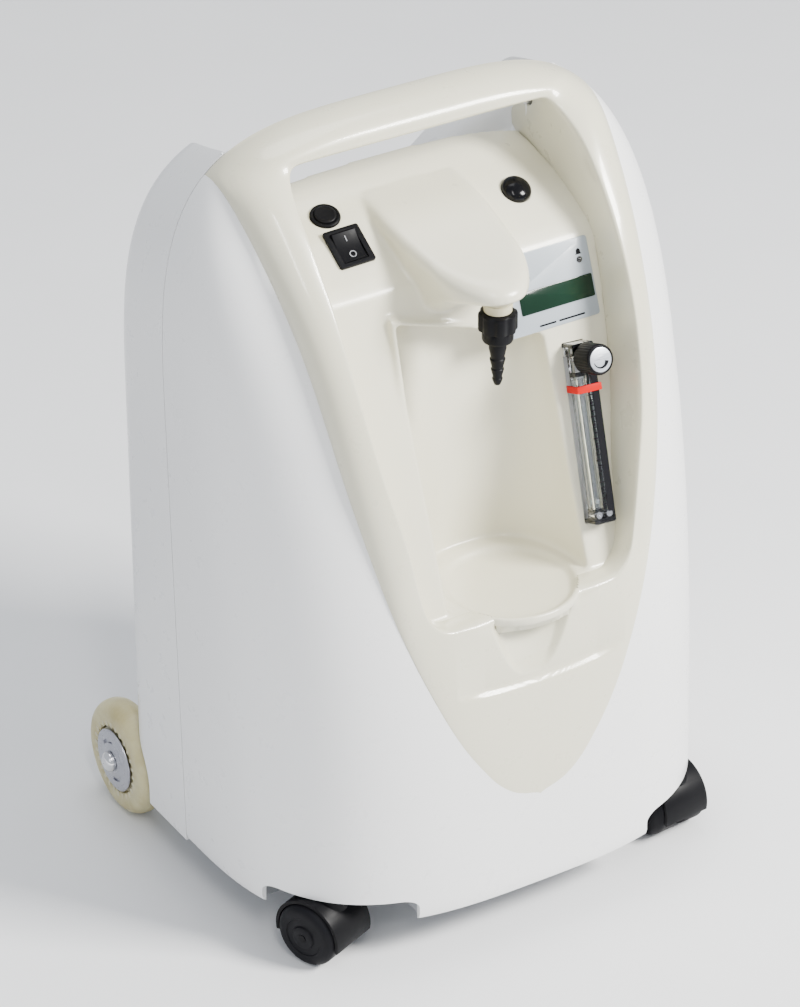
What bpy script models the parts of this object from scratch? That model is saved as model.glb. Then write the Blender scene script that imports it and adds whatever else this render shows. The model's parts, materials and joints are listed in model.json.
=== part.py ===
# Oxygen concentrator: two-shell cabinet with a loop handle bezel, sloped control
# panel, flowmeter, twin-wheel front casters and large rear wheels.
# Lengths below are millimetres on a datum whose y is 36 mm ahead of the row's y;
# place() turns them into metres on the row's axes.
import bpy
import bmesh
import math
import numpy as np

DATUM_Y = 36.0
WALL = 3.0

for old in list(bpy.data.objects):
    bpy.data.objects.remove(old, do_unlink=True)
scene = bpy.context.scene
PARTS = bpy.data.collections.new("parts")
CUTTERS = bpy.data.collections.new("cutters")
scene.collection.children.link(PARTS)
scene.collection.children.link(CUTTERS)

COLORS = {
    "shell": ((0.86, 0.88, 0.90), 0.25, 0.0),
    "pearl": ((0.80, 0.78, 0.70), 0.22, 0.0),
    "panel": ((0.78, 0.76, 0.66), 0.3, 0.0),
    "tray": ((0.45, 0.46, 0.48), 0.6, 0.0),
    "label": ((0.55, 0.60, 0.64), 0.4, 0.0),
    "lcd": ((0.02, 0.06, 0.04), 0.1, 0.0),
    "black": ((0.02, 0.02, 0.022), 0.35, 0.0),
    "red": ((0.75, 0.04, 0.03), 0.3, 0.0),
    "acrylic": ((0.75, 0.80, 0.82), 0.05, 0.0),
    "steel": ((0.55, 0.56, 0.58), 0.3, 1.0),
    "chrome": ((0.8, 0.8, 0.8), 0.08, 1.0),
    "tyre": ((0.78, 0.73, 0.50), 0.45, 0.0),
    "rubber": ((0.03, 0.03, 0.03), 0.8, 0.0),
    "nylon": ((0.70, 0.66, 0.50), 0.4, 0.0),
    "alloy": ((0.62, 0.63, 0.65), 0.35, 1.0),
    "foam": ((0.06, 0.06, 0.07), 0.95, 0.0),
    "grille": ((0.72, 0.73, 0.74), 0.5, 0.0),
    "board": ((0.03, 0.22, 0.09), 0.5, 0.0),
    "hose": ((0.75, 0.78, 0.78), 0.3, 0.0),
    "copper": ((0.72, 0.36, 0.18), 0.3, 1.0),
}
MATS = {}


def material(key):
    if key not in MATS:
        color, rough, metal = COLORS[key]
        mat = bpy.data.materials.new(key)
        mat.use_nodes = True
        bsdf = mat.node_tree.nodes["Principled BSDF"]
        bsdf.inputs["Base Color"].default_value = (*color, 1.0)
        bsdf.inputs["Roughness"].default_value = rough
        bsdf.inputs["Metallic"].default_value = metal
        MATS[key] = mat
    return MATS[key]


def place(points):
    p = np.asarray(points, float)
    return (p - np.array([0.0, DATUM_Y, 0.0])) / 1000.0


def new_object(name, points, faces, key=None, cutter=False, smooth=40.0):
    mesh = bpy.data.meshes.new(name)
    mesh.from_pydata([tuple(v) for v in place(points)], [], [tuple(f) for f in faces])
    bm = bmesh.new()
    bm.from_mesh(mesh)
    bmesh.ops.remove_doubles(bm, verts=bm.verts, dist=1e-6)
    if cutter:
        bmesh.ops.triangulate(bm, faces=bm.faces)
    bmesh.ops.recalc_face_normals(bm, faces=bm.faces)
    if bm.calc_volume(signed=True) < 0:
        bmesh.ops.reverse_faces(bm, faces=bm.faces)
    bm.to_mesh(mesh)
    bm.free()
    obj = bpy.data.objects.new(name, mesh)
    if cutter:
        CUTTERS.objects.link(obj)
        obj.hide_render = True
        obj.display_type = "WIRE"
    else:
        PARTS.objects.link(obj)
        mesh.materials.append(material(key))
        if smooth:
            mesh.set_sharp_from_angle(angle=math.radians(smooth))
    return obj


def boolean(obj, other, operation="DIFFERENCE"):
    mod = obj.modifiers.new(operation.lower() + "_" + other.name, "BOOLEAN")
    mod.operation = operation
    mod.solver = "EXACT"
    mod.object = other
    return obj


def bevel(obj, width, segments=2, angle=35.0):
    mod = obj.modifiers.new("bevel", "BEVEL")
    mod.width = width / 1000.0
    mod.segments = segments
    mod.limit_method = "ANGLE"
    mod.angle_limit = math.radians(angle)
    mod.harden_normals = False
    return obj


# ---------------------------------------------------------------- primitives
def ring_faces(rings, n, closed_rings=False, cap_start=True, cap_end=True):
    """Faces of a stack of rings with n points each."""
    faces = []
    last = rings if closed_rings else rings - 1
    for r in range(last):
        r2 = (r + 1) % rings
        for i in range(n):
            j = (i + 1) % n
            faces.append((r * n + i, r * n + j, r2 * n + j, r2 * n + i))
    if not closed_rings:
        if cap_start:
            faces.append(tuple(reversed(range(n))))
        if cap_end:
            faces.append(tuple((rings - 1) * n + i for i in range(n)))
    return faces


def stack(name, rings, key=None, **kw):
    n = len(rings[0])
    pts = np.concatenate([np.asarray(r, float) for r in rings])
    return new_object(name, pts, ring_faces(len(rings), n), key, **kw)


def frame_of(axis):
    a = np.asarray(axis, float)
    a = a / np.linalg.norm(a)
    ref = np.array([0.0, 0.0, 1.0]) if abs(a[2]) < 0.9 else np.array([1.0, 0.0, 0.0])
    u = np.cross(ref, a)
    u /= np.linalg.norm(u)
    v = np.cross(a, u)
    return u, v, a


def lathe_rings(profile, origin, axis, n):
    """Rings of (r, h) pairs turned about an axis through origin."""
    u, v, a = frame_of(axis)
    origin = np.asarray(origin, float)
    ang = np.linspace(0, 2 * math.pi, n, endpoint=False)
    return [
        np.array([origin + a * h + r * (u * math.cos(t) + v * math.sin(t)) for t in ang])
        for r, h in profile
    ]


def lathe(name, profile, origin, axis, n, key=None, hollow=False, **kw):
    rings = lathe_rings(profile, origin, axis, n)
    pts = np.concatenate(rings)
    return new_object(name, pts, ring_faces(len(rings), n, closed_rings=hollow), key, **kw)


def rounded_rect(cx, cy, w, h, r, seg=3):
    pts = []
    for k, (sx, sy) in enumerate(((1, 1), (-1, 1), (-1, -1), (1, -1))):
        for i in range(seg + 1):
            t = math.radians(90 * k + 90 * i / seg)
            pts.append((cx + sx * (w / 2 - r) + r * math.cos(t), cy + sy * (h / 2 - r) + r * math.sin(t)))
    return pts


def slab(name, outline, origin, u, v, n, lo, hi, key=None, **kw):
    """A plate: 2-D outline in the u, v plane, from lo to hi along n."""
    origin, u, v, n = (np.asarray(q, float) for q in (origin, u, v, n))
    rings = [[origin + u * a + v * b + n * h for a, b in outline] for h in (lo, hi)]
    return stack(name, rings, key, **kw)


def box(name, lo, hi, key=None, **kw):
    x0, y0, z0 = lo
    x1, y1, z1 = hi
    rings = [[(x0, y0, z), (x1, y0, z), (x1, y1, z), (x0, y1, z)] for z in (z0, z1)]
    return stack(name, rings, key, **kw)


def sweep(name, path, radius, n, key=None, **kw):
    """A round solid tube along a path, with parallel-transported rings."""
    path = np.asarray(path, float)
    tang = np.gradient(path, axis=0)
    tang /= np.linalg.norm(tang, axis=1)[:, None]
    u, _, _ = frame_of(tang[0])
    rings = []
    for p, t in zip(path, tang):
        u = u - t * np.dot(u, t)
        u /= np.linalg.norm(u)
        w = np.cross(t, u)
        rings.append([p + radius * (u * math.cos(a) + w * math.sin(a)) for a in np.linspace(0, 2 * math.pi, n, endpoint=False)])
    return stack(name, rings, key, **kw)


def smooth_path(points, per=6):
    """A Catmull-Rom curve through the points."""
    p = [np.asarray(q, float) for q in points]
    p = [2 * p[0] - p[1]] + p + [2 * p[-1] - p[-2]]
    out = []
    for i in range(1, len(p) - 2):
        for k in range(per):
            t = k / per
            a, b, c, d = p[i - 1], p[i], p[i + 1], p[i + 2]
            out.append(0.5 * (2 * b + (c - a) * t + (2 * a - 5 * b + 4 * c - d) * t * t + (3 * b - a - 3 * c + d) * t ** 3))
    out.append(p[-2])
    return out


# ---------------------------------------------------------------- cabinet form
W0, W1, Z1, NE, ZT = 194.55, 193.44, 362.3, 3.96, 600.0
D0, ZD, PD, ND = 185.8, 115.8, 2.589, 3.085
YS0, KS = 60.0, 0.0315
ZFLOOR = 35.0
ZTIP, ZAP = 114.4, 571.8
YREAR, RREAR = 148.0, 34.0


def seam_y(z):
    return YS0 + KS * (np.asarray(z, float) - 300.0)


def half_width(z, off=0.0):
    z = np.asarray(z, float)
    t = np.clip((z - Z1) / (ZT - off - Z1), 0, 1)
    base = W0 + (W1 - W0) * np.clip((z - 35.0) / (Z1 - 35.0), 0, 1) - off
    return base * (1 - t ** NE) ** (1 / NE)


def dome_depth(z, off=0.0):
    t = np.clip((np.asarray(z, float) - ZD) / (ZT - off - ZD), 0, 1)
    return (D0 - off) * (1 - t ** PD) ** (1 / 1.35)


def front_y(x, z, off=0.0):
    """y of the domed front at x, z."""
    w = np.maximum(half_width(z, off), 1e-6)
    r = np.clip(np.abs(x) / w, 0, 1)
    return seam_y(z) - dome_depth(z, off) * (1 - r ** ND) ** (1 / ND)


def front_normal(x, z):
    e = 0.5
    gx = (front_y(x + e, z) - front_y(x - e, z)) / (2 * e)
    gz = (front_y(x, z + e) - front_y(x, z - e)) / (2 * e)
    n = np.array([gx, -1.0, gz])
    return n / np.linalg.norm(n)


def pchip(xs, ys, x):
    """Monotone cubic through the points."""
    xs, ys = np.asarray(xs, float), np.asarray(ys, float)
    h, d = np.diff(xs), np.diff(ys) / np.diff(xs)
    m = np.zeros(len(xs))
    for i in range(1, len(xs) - 1):
        if d[i - 1] * d[i] > 0:
            a, b = 2 * h[i] + h[i - 1], h[i] + 2 * h[i - 1]
            m[i] = (a + b) / (a / d[i - 1] + b / d[i])
    m[0], m[-1] = d[0], d[-1]
    i = int(np.clip(np.searchsorted(xs, x) - 1, 0, len(h) - 1))
    t = (x - xs[i]) / h[i]
    return float(
        ys[i] * (1 + 2 * t) * (1 - t) ** 2 + h[i] * m[i] * t * (1 - t) ** 2
        + ys[i + 1] * t * t * (3 - 2 * t) + h[i] * m[i + 1] * t * t * (t - 1)
    )


LOOP_T = (0, 0.02, 0.08, 0.2, 0.4, 0.6, 0.8, 1.0)
LOOP_X = (0, 22.9, 48.5, 79.2, 111.6, 129.4, 139.5, 152.8)


def loop_x(z):
    """Outer half width of the loop bezel at height z."""
    return pchip(LOOP_T, LOOP_X, float(np.clip((z - ZTIP) / (ZAP - ZTIP), 0, 1)))


def dome_rows(top, low, n_low, n_top, off):
    """Heights of the rows: straight part, then crowded under the crown."""
    zs = list(np.linspace(low, Z1, n_low, endpoint=False))
    th = np.linspace(0, math.pi / 2, n_top)
    zs += [Z1 + (top - off - Z1) * math.sin(t) ** (2 / NE) for t in th]
    return zs


def dome_solid(name, off, n_a, n_low, n_top, low, back, tuck, **kw):
    """The domed front as a solid: outer form inset by off, back face behind the seam by back."""
    rings = []
    zs = dome_rows(ZT, low, n_low, n_top, off)
    if tuck:
        zs = [low, low + 2.0, low + 6.0] + zs[1:]
    for k, z in enumerate(zs[:-1]):
        inset = (4.0, 1.2, 0.0)[k] if (tuck and k < 3) else 0.0
        w = max(float(half_width(z, off)) - inset, 0.4)
        d = max(float(dome_depth(z, off)) - inset, 0.4)
        ys = float(seam_y(z))
        ring = []
        for a in np.linspace(-math.pi / 2, math.pi / 2, n_a):
            s, c = math.sin(a), max(math.cos(a), 0.0)
            ring.append((w * math.copysign(abs(s) ** (2 / ND), s), ys + (0.6 if back else 0.0) - d * c ** (2 / ND), z))
        ring.append((w, ys + back, z))
        ring.append((-w, ys + back, z))
        rings.append(ring)
    if not back:
        rings = [r[:-2] for r in rings]
    return stack(name, rings, kw.pop("key", None), **kw)


def arch_ring(y, inset, off, low, n_low, n_top):
    """Arch outline at depth y, from left foot over the crown to right foot."""
    ring = []
    top = ZT - off - inset
    w1 = W1 - off - inset
    zs = list(np.linspace(low, Z1, n_low, endpoint=False))
    side = [((W0 + (W1 - W0) * (z - 35) / (Z1 - 35)) - off - inset, z) for z in zs]
    th = np.linspace(0, math.pi / 2, n_top)
    side += [(w1 * math.cos(t) ** (2 / NE), Z1 + (top - Z1) * math.sin(t) ** (2 / NE)) for t in th[:-1]]
    side.append((0.0, top))

    def drop(z):
        return 0.3 * max(0.0, y - float(seam_y(z))) * float(np.clip((z - 300) / 300, 0, 1))

    left = [(-x, y, z - drop(z)) for x, z in side]
    right = [(x, y, z - drop(z)) for x, z in reversed(side[:-1])]
    return left + right


def rear_solid(name, off, n_low, n_top, n_round, low, front_gap, **kw):
    rings = []
    first = arch_ring(60.0, 0.0, off, low, n_low, n_top)
    rings.append([(x, float(seam_y(z)) + front_gap, z) for x, _, z in first])
    r = RREAR - off
    yr = YREAR - off
    rings.append(arch_ring(yr - r, 0.0, off, low, n_low, n_top))
    for k in range(1, n_round + 1):
        a = math.pi / 2 * k / n_round
        rings.append(arch_ring(yr - r + r * math.sin(a), r * (1 - math.cos(a)), off, low, n_low, n_top))
    return stack(name, rings, kw.pop("key", None), **kw)


def prism_y(name, outline, y0, y1, **kw):
    """A prism along y from an x, z outline."""
    rings = [[(x, y, z) for x, z in outline] for y in (y0, y1)]
    return stack(name, rings, kw.pop("key", None), **kw)


def loop_outline(gap, n=26):
    """Hole for the bezel in the front shell: loop edge plus gap, opened out above the shoulders."""
    right = []
    for t in np.linspace(0, 1, n):
        z = ZTIP + (554.6 - ZTIP) * (t ** 1.7)
        right.append((loop_x(z) + gap if z > ZTIP else 0.0, z - (gap if t == 0 else 0)))
    right.append((230.0, 554.6))
    right.append((230.0, 640.0))
    left = [(-x, z) for x, z in reversed(right) if x > 0]
    return right + left


# trough behind the handle bar: a hand recess, wide in front, narrow behind, flared at the top
TROUGH = ((40.0, 122.0, 524.0, 14.0), (94.0, 120.0, 522.0, 14.0), (119.0, 67.0, 503.0, 18.0), (173.0, 35.0, 461.0, 20.0))


def trough(name, grow, **kw):
    rings = []
    for y, hw, zb, r in TROUGH:
        hw, zb, r = hw + grow, zb - grow, r + grow
        half = [(0.0, zb + (7.0 if y < 100 else 2.0))]
        for k in range(5):
            a = math.radians(58) * k / 4
            half.append((hw - r + r * math.sin(a), zb + r - r * math.cos(a)))
        wide = 136.0 + grow
        half.append((max(wide - 6.0, half[-1][0] + 1.0), 556.0 if y > 80 else 566.0))
        half.append((wide + 2.0, 592.0))
        half.append((wide + 4.0, 650.0))
        ring = half + [(-x, z) for x, z in reversed(half) if x > 0]
        rings.append([(x, y - (grow if y < 60 else 0) + (grow if y > 150 else 0), z) for x, z in ring])
    return stack(name, rings, **kw)


# front shell
front = dome_solid("front_shell", 0.0, 25, 6, 11, ZFLOOR, 0.0, True, key="shell")
inner = dome_solid("front_hollow", WALL, 21, 5, 10, ZFLOOR - 12, 6.0, False, cutter=True)
boolean(front, inner)
boolean(front, prism_y("loop_hole", loop_outline(0.9), -220, 110, cutter=True))
for side, tag in ((-1, "l"), (1, "r")):
    x0, x1 = sorted((side * 100.0, side * 260.0))
    notch = box("caster_notch_" + tag, (x0, -220, -20), (x1, -45, 54), cutter=True)
    bevel(notch, 12, 3)
    boolean(front, notch)

# rear shell
rear = rear_solid("rear_shell", 0.0, 5, 12, 5, ZFLOOR, 0.4, key="shell")
boolean(rear, trough("trough_cut", 0.0, cutter=True))
hollow = rear_solid("rear_hollow", WALL, 5, 12, 5, ZFLOOR - 12, -6.0, cutter=True)
boolean(hollow, trough("trough_keep", WALL, cutter=True))
boolean(rear, hollow)
WHEEL_Y, WHEEL_Z, WHEEL_R = 160.0, 46.0, 46.0
for side, tag in ((-1, "l"), (1, "r")):
    well = lathe("wheel_well_" + tag, ((51.0, 0), (51.0, 60)), (side * 166.0, WHEEL_Y, WHEEL_Z), (side, 0, 0), 28, cutter=True)
    boolean(rear, well)
    x0, x1 = sorted((side * 166.0, side * 240.0))
    foot = box("wheel_foot_" + tag, (x0, WHEEL_Y - 51.0, -30), (x1, 240, WHEEL_Z), cutter=True)
    boolean(rear, foot)


# ---------------------------------------------------------------- loop bezel
def edge_x(z):
    """Half width between the rails' inner edges."""
    return pchip((262, 275, 300, 340, 390, 441, 485, 524, 561), (80, 84, 89, 95, 105.5, 112, 114.5, 114.5, 112), z)


def rail_height(z):
    return pchip((100, 250, 300, 353, 400, 450, 500, 540, 600), (1.5, 2.5, 7, 11, 14, 16.5, 18, 17, 15), z)


def face_y(z):
    """y of the sloped control face, and of the roof it rounds into, at height z."""
    if z <= 486.0:
        return -100.0 + 0.381 * (z - 271.0)
    return pchip((486, 490, 498, 508, 522, 533, 539, 541), (-18.1, -16.5, -9, 4, 25, 48, 68, 86), min(z, 541.0))


def camber(x, z):
    """Fall of the roof towards its sides."""
    return 11.0 * (abs(x) / 114.0) ** 3 * float(np.clip((z - 500.0) / 36.0, 0, 1))


def foot_y(z):
    return face_y(z + 12.0 * float(np.clip((z - 488.0) / 30.0, 0, 1))) + 7.0


SILL = 271.0


def bezel_keys(s):
    """Edges of the bezel at station s: 0 is the tip below, 1 the middle of the handle bar.

    Gives the outer edge O, the inner edge E, the inner foot W, the height of the bulge and
    the weight of the solid bar.
    """
    if s < 0.62:  # lower face and rails
        q = s / 0.62
        zo = ZTIP + (556.0 - ZTIP) * q ** 1.35
        xo = loop_x(zo) - 0.7 if q > 0 else 0.0
        lower = 0.34
        if q < lower:  # under the sill
            k = q / lower
            xe, ze = 72.0 * k, SILL
            corner = 0.0
        else:
            k = (q - lower) / (1 - lower)
            ze = SILL + (545.0 - SILL) * k ** 1.15
            xe = edge_x(ze)
            corner = max(0.0, 1 - k / 0.06)
            xe = xe - (xe - 74.0) * corner
            ze = ze + 3.0 * (1 - corner) * min(1.0, k * 8) * 0
        h = rail_height(zo)
        yf = face_y(ze)
        if q < lower:
            foot = (xe, yf + 6.0, SILL - 1.2)
            edge = (xe, front_y(xe, ze) - h, ze)
        else:
            edge = (xe, front_y(xe, ze) - h, ze)
            foot = (xe - 1.0, foot_y(ze), ze - 1.0)
        outer = (xo, float(front_y(xo, zo)), zo)
        return outer, edge, foot, h, 0.0
    q = (s - 0.62) / 0.38
    if q < 0.3:  # shoulder, from rail to bar
        k = q / 0.3
        ang = k * math.pi / 2
        zo = 556.0 + (582.0 - 556.0) * math.sin(ang)
        xo = min(float(half_width(zo)) - 0.6, 151.0 + 8.0 * math.sin(math.pi * min(k * 1.2, 1.0)))
        if zo > 556.3:
            xo = float(half_width(zo))
        yo = float(front_y(min(xo, float(half_width(zo)) - 1e-3), zo))
        xe = 114.0 - 14.0 * (1 - math.cos(ang))
        ze = 545.0 + 35.0 * math.sin(ang)
        edge = (xe, float(front_y(xe, min(ze, 575))) - rail_height(ze) * (1 - k) - 1.0 * k, ze)
        foot = (xe - 1.0 + 3.0 * k, 93.0 + (66.0 - 93.0) * min(1.0, k * 1.6), ze - 1.0 - 9.0 * k)
        return (xo, yo, zo), edge, foot, 17.0 - 9.0 * k, k
    k = (q - 0.3) / 0.7  # bar, shoulder to middle
    xo = float(half_width(582.0)) * (1 - k)
    zo = 600.0
    lo, hi = 582.0, 600.0
    for _ in range(40):
        mid = (lo + hi) / 2
        if float(half_width(mid)) > xo:
            lo = mid
        else:
            hi = mid
    zo = (lo + hi) / 2
    yo = float(seam_y(zo)) - 0.3
    xe = 100.0 * (1 - k)
    blend = min(1.0, k * 3)
    ze = 580.0
    ye = 30.0 - 0.0 * blend
    return (xo, yo, zo), (xe, ye, ze), (xe + 2.0 * (1 - k), 66.0, 570.0), 8.0, 1.0


def bezel_section(s, nt, nw):
    """Closed section at station s: front points from outer edge to foot, then the back."""
    O, E, W, h, bar = bezel_keys(s)
    O, E, W = (np.asarray(q, float) for q in (O, E, W))
    front_pts, back_pts = [], []
    for t in np.linspace(0, 1, nt):
        # rise of the rail: steep beside the outer edge, level towards the inner one
        f = (1 - (1 - t) ** 2.4) ** 0.62
        x = O[0] + (E[0] - O[0]) * t
        z = O[2] + (E[2] - O[2]) * t
        wmax = float(half_width(z)) - 0.05
        xs = min(x, wmax)
        base = np.array([xs, float(front_y(xs, z)), z])
        n = front_normal(max(xs - 0.6, 0.0), min(z, 596.0))
        rail = base + n * h * f
        # straighten onto the true edge
        end = np.array([E[0], float(front_y(min(E[0], wmax), E[2])), E[2]]) + front_normal(E[0], min(E[2], 596.0)) * h
        rail = rail + (E - end) * t ** 3
        rail[0] = max(rail[0], 0.0) if s < 1e-9 or s > 1 - 1e-9 else rail[0]
        chord = O + (E - O) * t
        up = np.array([0.0, -0.52, 0.85])
        round_bar = chord + up * 9.0 * math.sin(math.pi * t) ** 0.8 + np.array([0, -1.0, 0.0]) * 5.0 * math.sin(math.pi * t ** 1.5)
        p = rail * (1 - bar) + round_bar * bar
        front_pts.append(p)
        inward = np.array([-n[0], -n[1], -n[2]])
        thin = p + inward * WALL
        thin[1] = max(thin[1], p[1] + 1.0)
        thick = np.array([p[0] * 1.0, O[1] + (W[1] - O[1]) * t, O[2] + (W[2] - O[2]) * (t * 0.8) - 0.5])
        back_pts.append(thin * (1 - bar) + thick * bar)
    # round over the inner edge and down to the foot
    down = W - E
    start = front_pts[-1]
    for k in range(1, nw + 1):
        q = k / nw
        p = E + down * q
        over = np.array([0.0, 0.0, 0.0])
        front_pts.append(p + over)
        side = np.array([1.0, 0.0, 0.0]) if abs(E[2] - SILL) > 0.5 else np.array([0.0, 0.0, -1.0])
        thin = p + side * WALL * (1 if E[0] > 0 or side[0] == 0 else -1)
        thick = np.array([p[0], W[1], W[2] + (O[2] - W[2]) * 0.2])
        back_pts.append(thin * (1 - bar) + thick * bar)
    if bar >= 0.999:
        back_pts[-1] = W + np.array([0, 0.0, 1.0])
    return front_pts, back_pts


def scoop(x, z):
    """Depth of the finger scoop under the sill."""
    if z > 300 or z < 215:
        return 0.0
    v = np.clip((z - 219.0) / (SILL - 219.0), 0, 1.1)
    half = 35.0 * v ** 0.42 if v > 0 else 0.0
    if half <= 0:
        return 0.0
    r = abs(x + 4.0) / half
    return 13.0 * v ** 1.2 * (1 - r * r) if r < 1 else 0.0


def bezel(name, ns, nt, nw, key, **kw):
    stations = sorted(set(np.linspace(0, 1, ns)) | {0.62, 0.6225})
    rings = []
    halves = [bezel_section(s, nt, nw) for s in stations]
    for i, (f, b) in enumerate(halves):
        ring = [p.copy() for p in f] + [p.copy() for p in reversed(b)]
        if i in (0, len(halves) - 1):
            for p in ring:
                p[0] = 0.0
        rings.append(ring)
    mirrored = [[np.array([-p[0], p[1], p[2]]) for p in ring] for ring in reversed(rings[1:-1])]
    rings = rings + mirrored
    for ring in rings:
        for p in ring:
            p[1] += scoop(p[0], p[2]) * float(np.clip((-98.0 - p[1]) / 12.0, 0, 1))
    n = len(rings[0])
    pts = np.concatenate([np.asarray(r, float) for r in rings])
    return new_object(name, pts, ring_faces(len(rings), n, closed_rings=True), key, **kw)


bezel("handle_bezel", 27, 7, 2, "pearl", smooth=50)


# ---------------------------------------------------------------- control panel
FACE_UP = np.array([0.0, 0.381, 1.0]) / math.hypot(0.381, 1.0)
FACE_OUT = np.array([0.0, -1.0, 0.381]) / math.hypot(0.381, 1.0)
XAX = np.array([1.0, 0.0, 0.0])


def roof_frame(x, z):
    """Point, up vector and outward normal of the panel surface at x and profile height z."""
    e = 0.5
    p = np.array([x, face_y(z), z - camber(x, z)])
    q = np.array([x, face_y(z + e), z + e - camber(x, z + e)])
    r = np.array([x + e, face_y(z), z - camber(x + e, z)])
    up = (q - p) / np.linalg.norm(q - p)
    side = (r - p) / np.linalg.norm(r - p)
    out = np.cross(side, up)
    out /= np.linalg.norm(out)
    side = np.cross(up, out)
    return p, side, up, out


def panel_sheet(name, nu, zs, key, **kw):
    rings = []
    for z in zs:
        hx = min(edge_x(min(z, 560)), edge_x(z - camber(110, z))) - 2.7
        y = face_y(z)
        dy = (face_y(z + 0.5) - face_y(z - 0.5))
        nrm = np.array([0.0, dy and 1.0, -dy]) if dy < 1e6 else np.array([0, 0, -1.0])
        nrm = nrm / np.linalg.norm(nrm)
        us = np.linspace(-1, 1, nu)
        top = [np.array([hx * u, y, z - camber(hx * u, z)]) for u in us]
        bot = [p + nrm * WALL for p in top]
        rings.append(top + bot[::-1])
    return stack(name, rings, key, **kw)


NICHE_W = 59.0


def niche_back(z):
    return -22.0 + 20.0 * (z - 271.0) / 189.0


def ceiling(x):
    """Height of the alcove ceiling: high on the left of the spout, low under the label."""
    return pchip((-62, -26, 20, 62), (471.5, 466.5, 435.2, 433.0), max(min(x, 62.0), -62.0))


def niche_ring(z, grow, open_front, n):
    fy = face_y(z)
    depth = niche_back(z) - fy + grow
    w = NICHE_W + grow
    front_at = -175.0 if open_front else fy + 1.2
    ring = [(-w, front_at)]
    for a in np.linspace(-math.pi / 2, math.pi / 2, n):
        s, c = math.sin(a), max(math.cos(a), 0.0)
        ring.append((w * math.copysign(abs(s) ** (2 / 2.6), s), max(fy + depth * c ** (2 / 2.6), fy + 1.4)))
    ring.append((w, front_at))
    return ring


def niche_solid(name, grow, open_front, n, levels, **kw):
    rings = []
    zs = list(np.linspace(264.0 if grow else 270.0, 452.0, levels)) + [452.0]
    for k, z in enumerate(zs):
        last = k == len(zs) - 1
        ring = niche_ring(min(z, 452.0), grow, open_front, n)
        rings.append([(x, y, (ceiling(x) + grow if last else min(z, 425.0 * (k / max(levels - 1, 1)) + z * (1 - k / max(levels - 1, 1))))) for x, y in ring])
    rings = rings[:-2] + [rings[-1]]
    return stack(name, rings, **kw)


def nose_top(y):
    return pchip((-90, -60, -20, 20, 60), (509, 513.5, 521, 530, 536), y)


def nose_bottom(y):
    return pchip((-90, -68, -45, -25, -12, 8, 30, 50), (494, 492.5, 486, 469, 463, 466, 484, 517), y)


def nose_outline(scale, n):
    """Plan of the spout: parallel flanks running into a round tip."""
    pts = []
    for x, y in ((43.0, 50.0), (43.0, 20.0), (41.0, -8.0)):
        pts.append((x, y))
    for k in range(n + 1):
        a = math.pi * k / n
        c, s = math.cos(a), math.sin(a)
        pts.append((math.copysign(abs(c) ** 0.85, c) * (26.0 + 11.0 * (1 - s)), -58.0 - 30.0 * s ** 0.9 + 30.0 * (1 - s) * 0.55))
    for x, y in ((-41.0, -8.0), (-43.0, 20.0), (-43.0, 50.0)):
        pts.append((x, y))
    return [(x * scale, (y - 10.0) * (scale if y < 10 else 1.0) + 10.0) for x, y in pts]


def nose_solid(name, n, **kw):
    rings = []
    for scale, frac, off in ((0.80, 0, 0.0), (0.93, 0, 1.2), (1.0, 0, 4.5), (1.0, 1, -7.0), (0.965, 1, -4.0), (0.90, 1, -1.2), (0.80, 1, 0.0)):
        ring = []
        for x, y in nose_outline(scale, n):
            base = nose_top(y) if frac else nose_bottom(y)
            draft = 1.0 if frac else 0.72 + 0.28 * float(np.clip((-25.0 - y) / 35.0, 0, 1))
            ring.append((x * draft, y, base + off))
        rings.append(ring)
    return stack(name, rings, **kw)


PANEL_Z = (265, 300, 360, 420, 470, 486, 492, 499, 508, 516, 524, 531, 536.5, 540, 541)
panel = panel_sheet("control_panel", 9, PANEL_Z, "panel")
boolean(panel, niche_solid("niche_wall", 3.0, False, 11, 5, cutter=True), "UNION")
boolean(panel, nose_solid("nose_form", 6, cutter=True), "UNION")
boolean(panel, niche_solid("niche_cut", 0.0, True, 11, 5, cutter=True))
boolean(panel, box("sill_cut", (-140, -220, 200), (140, -93.4, 271.3), cutter=True))
for sx in (-1, 1):
    x0, x1 = sorted((sx * 67.0, sx * 140.0))
    boolean(panel, box("corner_cut_%d" % (sx + 1), (x0, -220, 199), (x1, -93.4, 280.0), cutter=True))
boolean(panel, lathe("seat_cut", ((47.0, 0), (48.0, 12)), (0, -82, 267.5), (0, 0, 1), 32, cutter=True))

# rocker switch
RP, RS, RU, RN = roof_frame(-69.0, 516.5)
rect = rounded_rect
boolean(panel, slab("rocker_seat", rect(0, 0, 28.8, 31.8, 1.5, 1), RP, RS, RU, RN, -0.8, 12, cutter=True))
boolean(panel, slab("rocker_hole", rect(0, 0, 24.6, 27.6, 1.0, 1), RP, RS, RU, RN, -14, 6, cutter=True))
frame_obj = slab("rocker_frame", rect(0, 0, 28.0, 31.0, 1.5, 2), RP, RS, RU, RN, -0.5, 2.0, "black")
boolean(frame_obj, slab("rocker_body", rect(0, 0, 24.0, 27.0, 1.0, 1), RP, RS, RU, RN, -16, 1.0, cutter=True), "UNION")
boolean(frame_obj, slab("rocker_gap", rect(0, 0, 19.6, 25.0, 0.6, 1), RP, RS, RU, RN, -9, 8, cutter=True))
side = [(-11.4, 2.9), (-11.4, -4.0), (11.4, -4.0), (11.4, 2.9), (6.0, 1.5), (0.0, 1.0), (-6.0, 1.5)]
tilt = math.radians(7.0)
rock = [(a * math.cos(tilt) - (b + 1) * math.sin(tilt), a * math.sin(tilt) + (b + 1) * math.cos(tilt) - 1) for a, b in side]
slab("rocker_button", rock, RP, RU, RN, -RS, -9.5, 9.5, "black")

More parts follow.
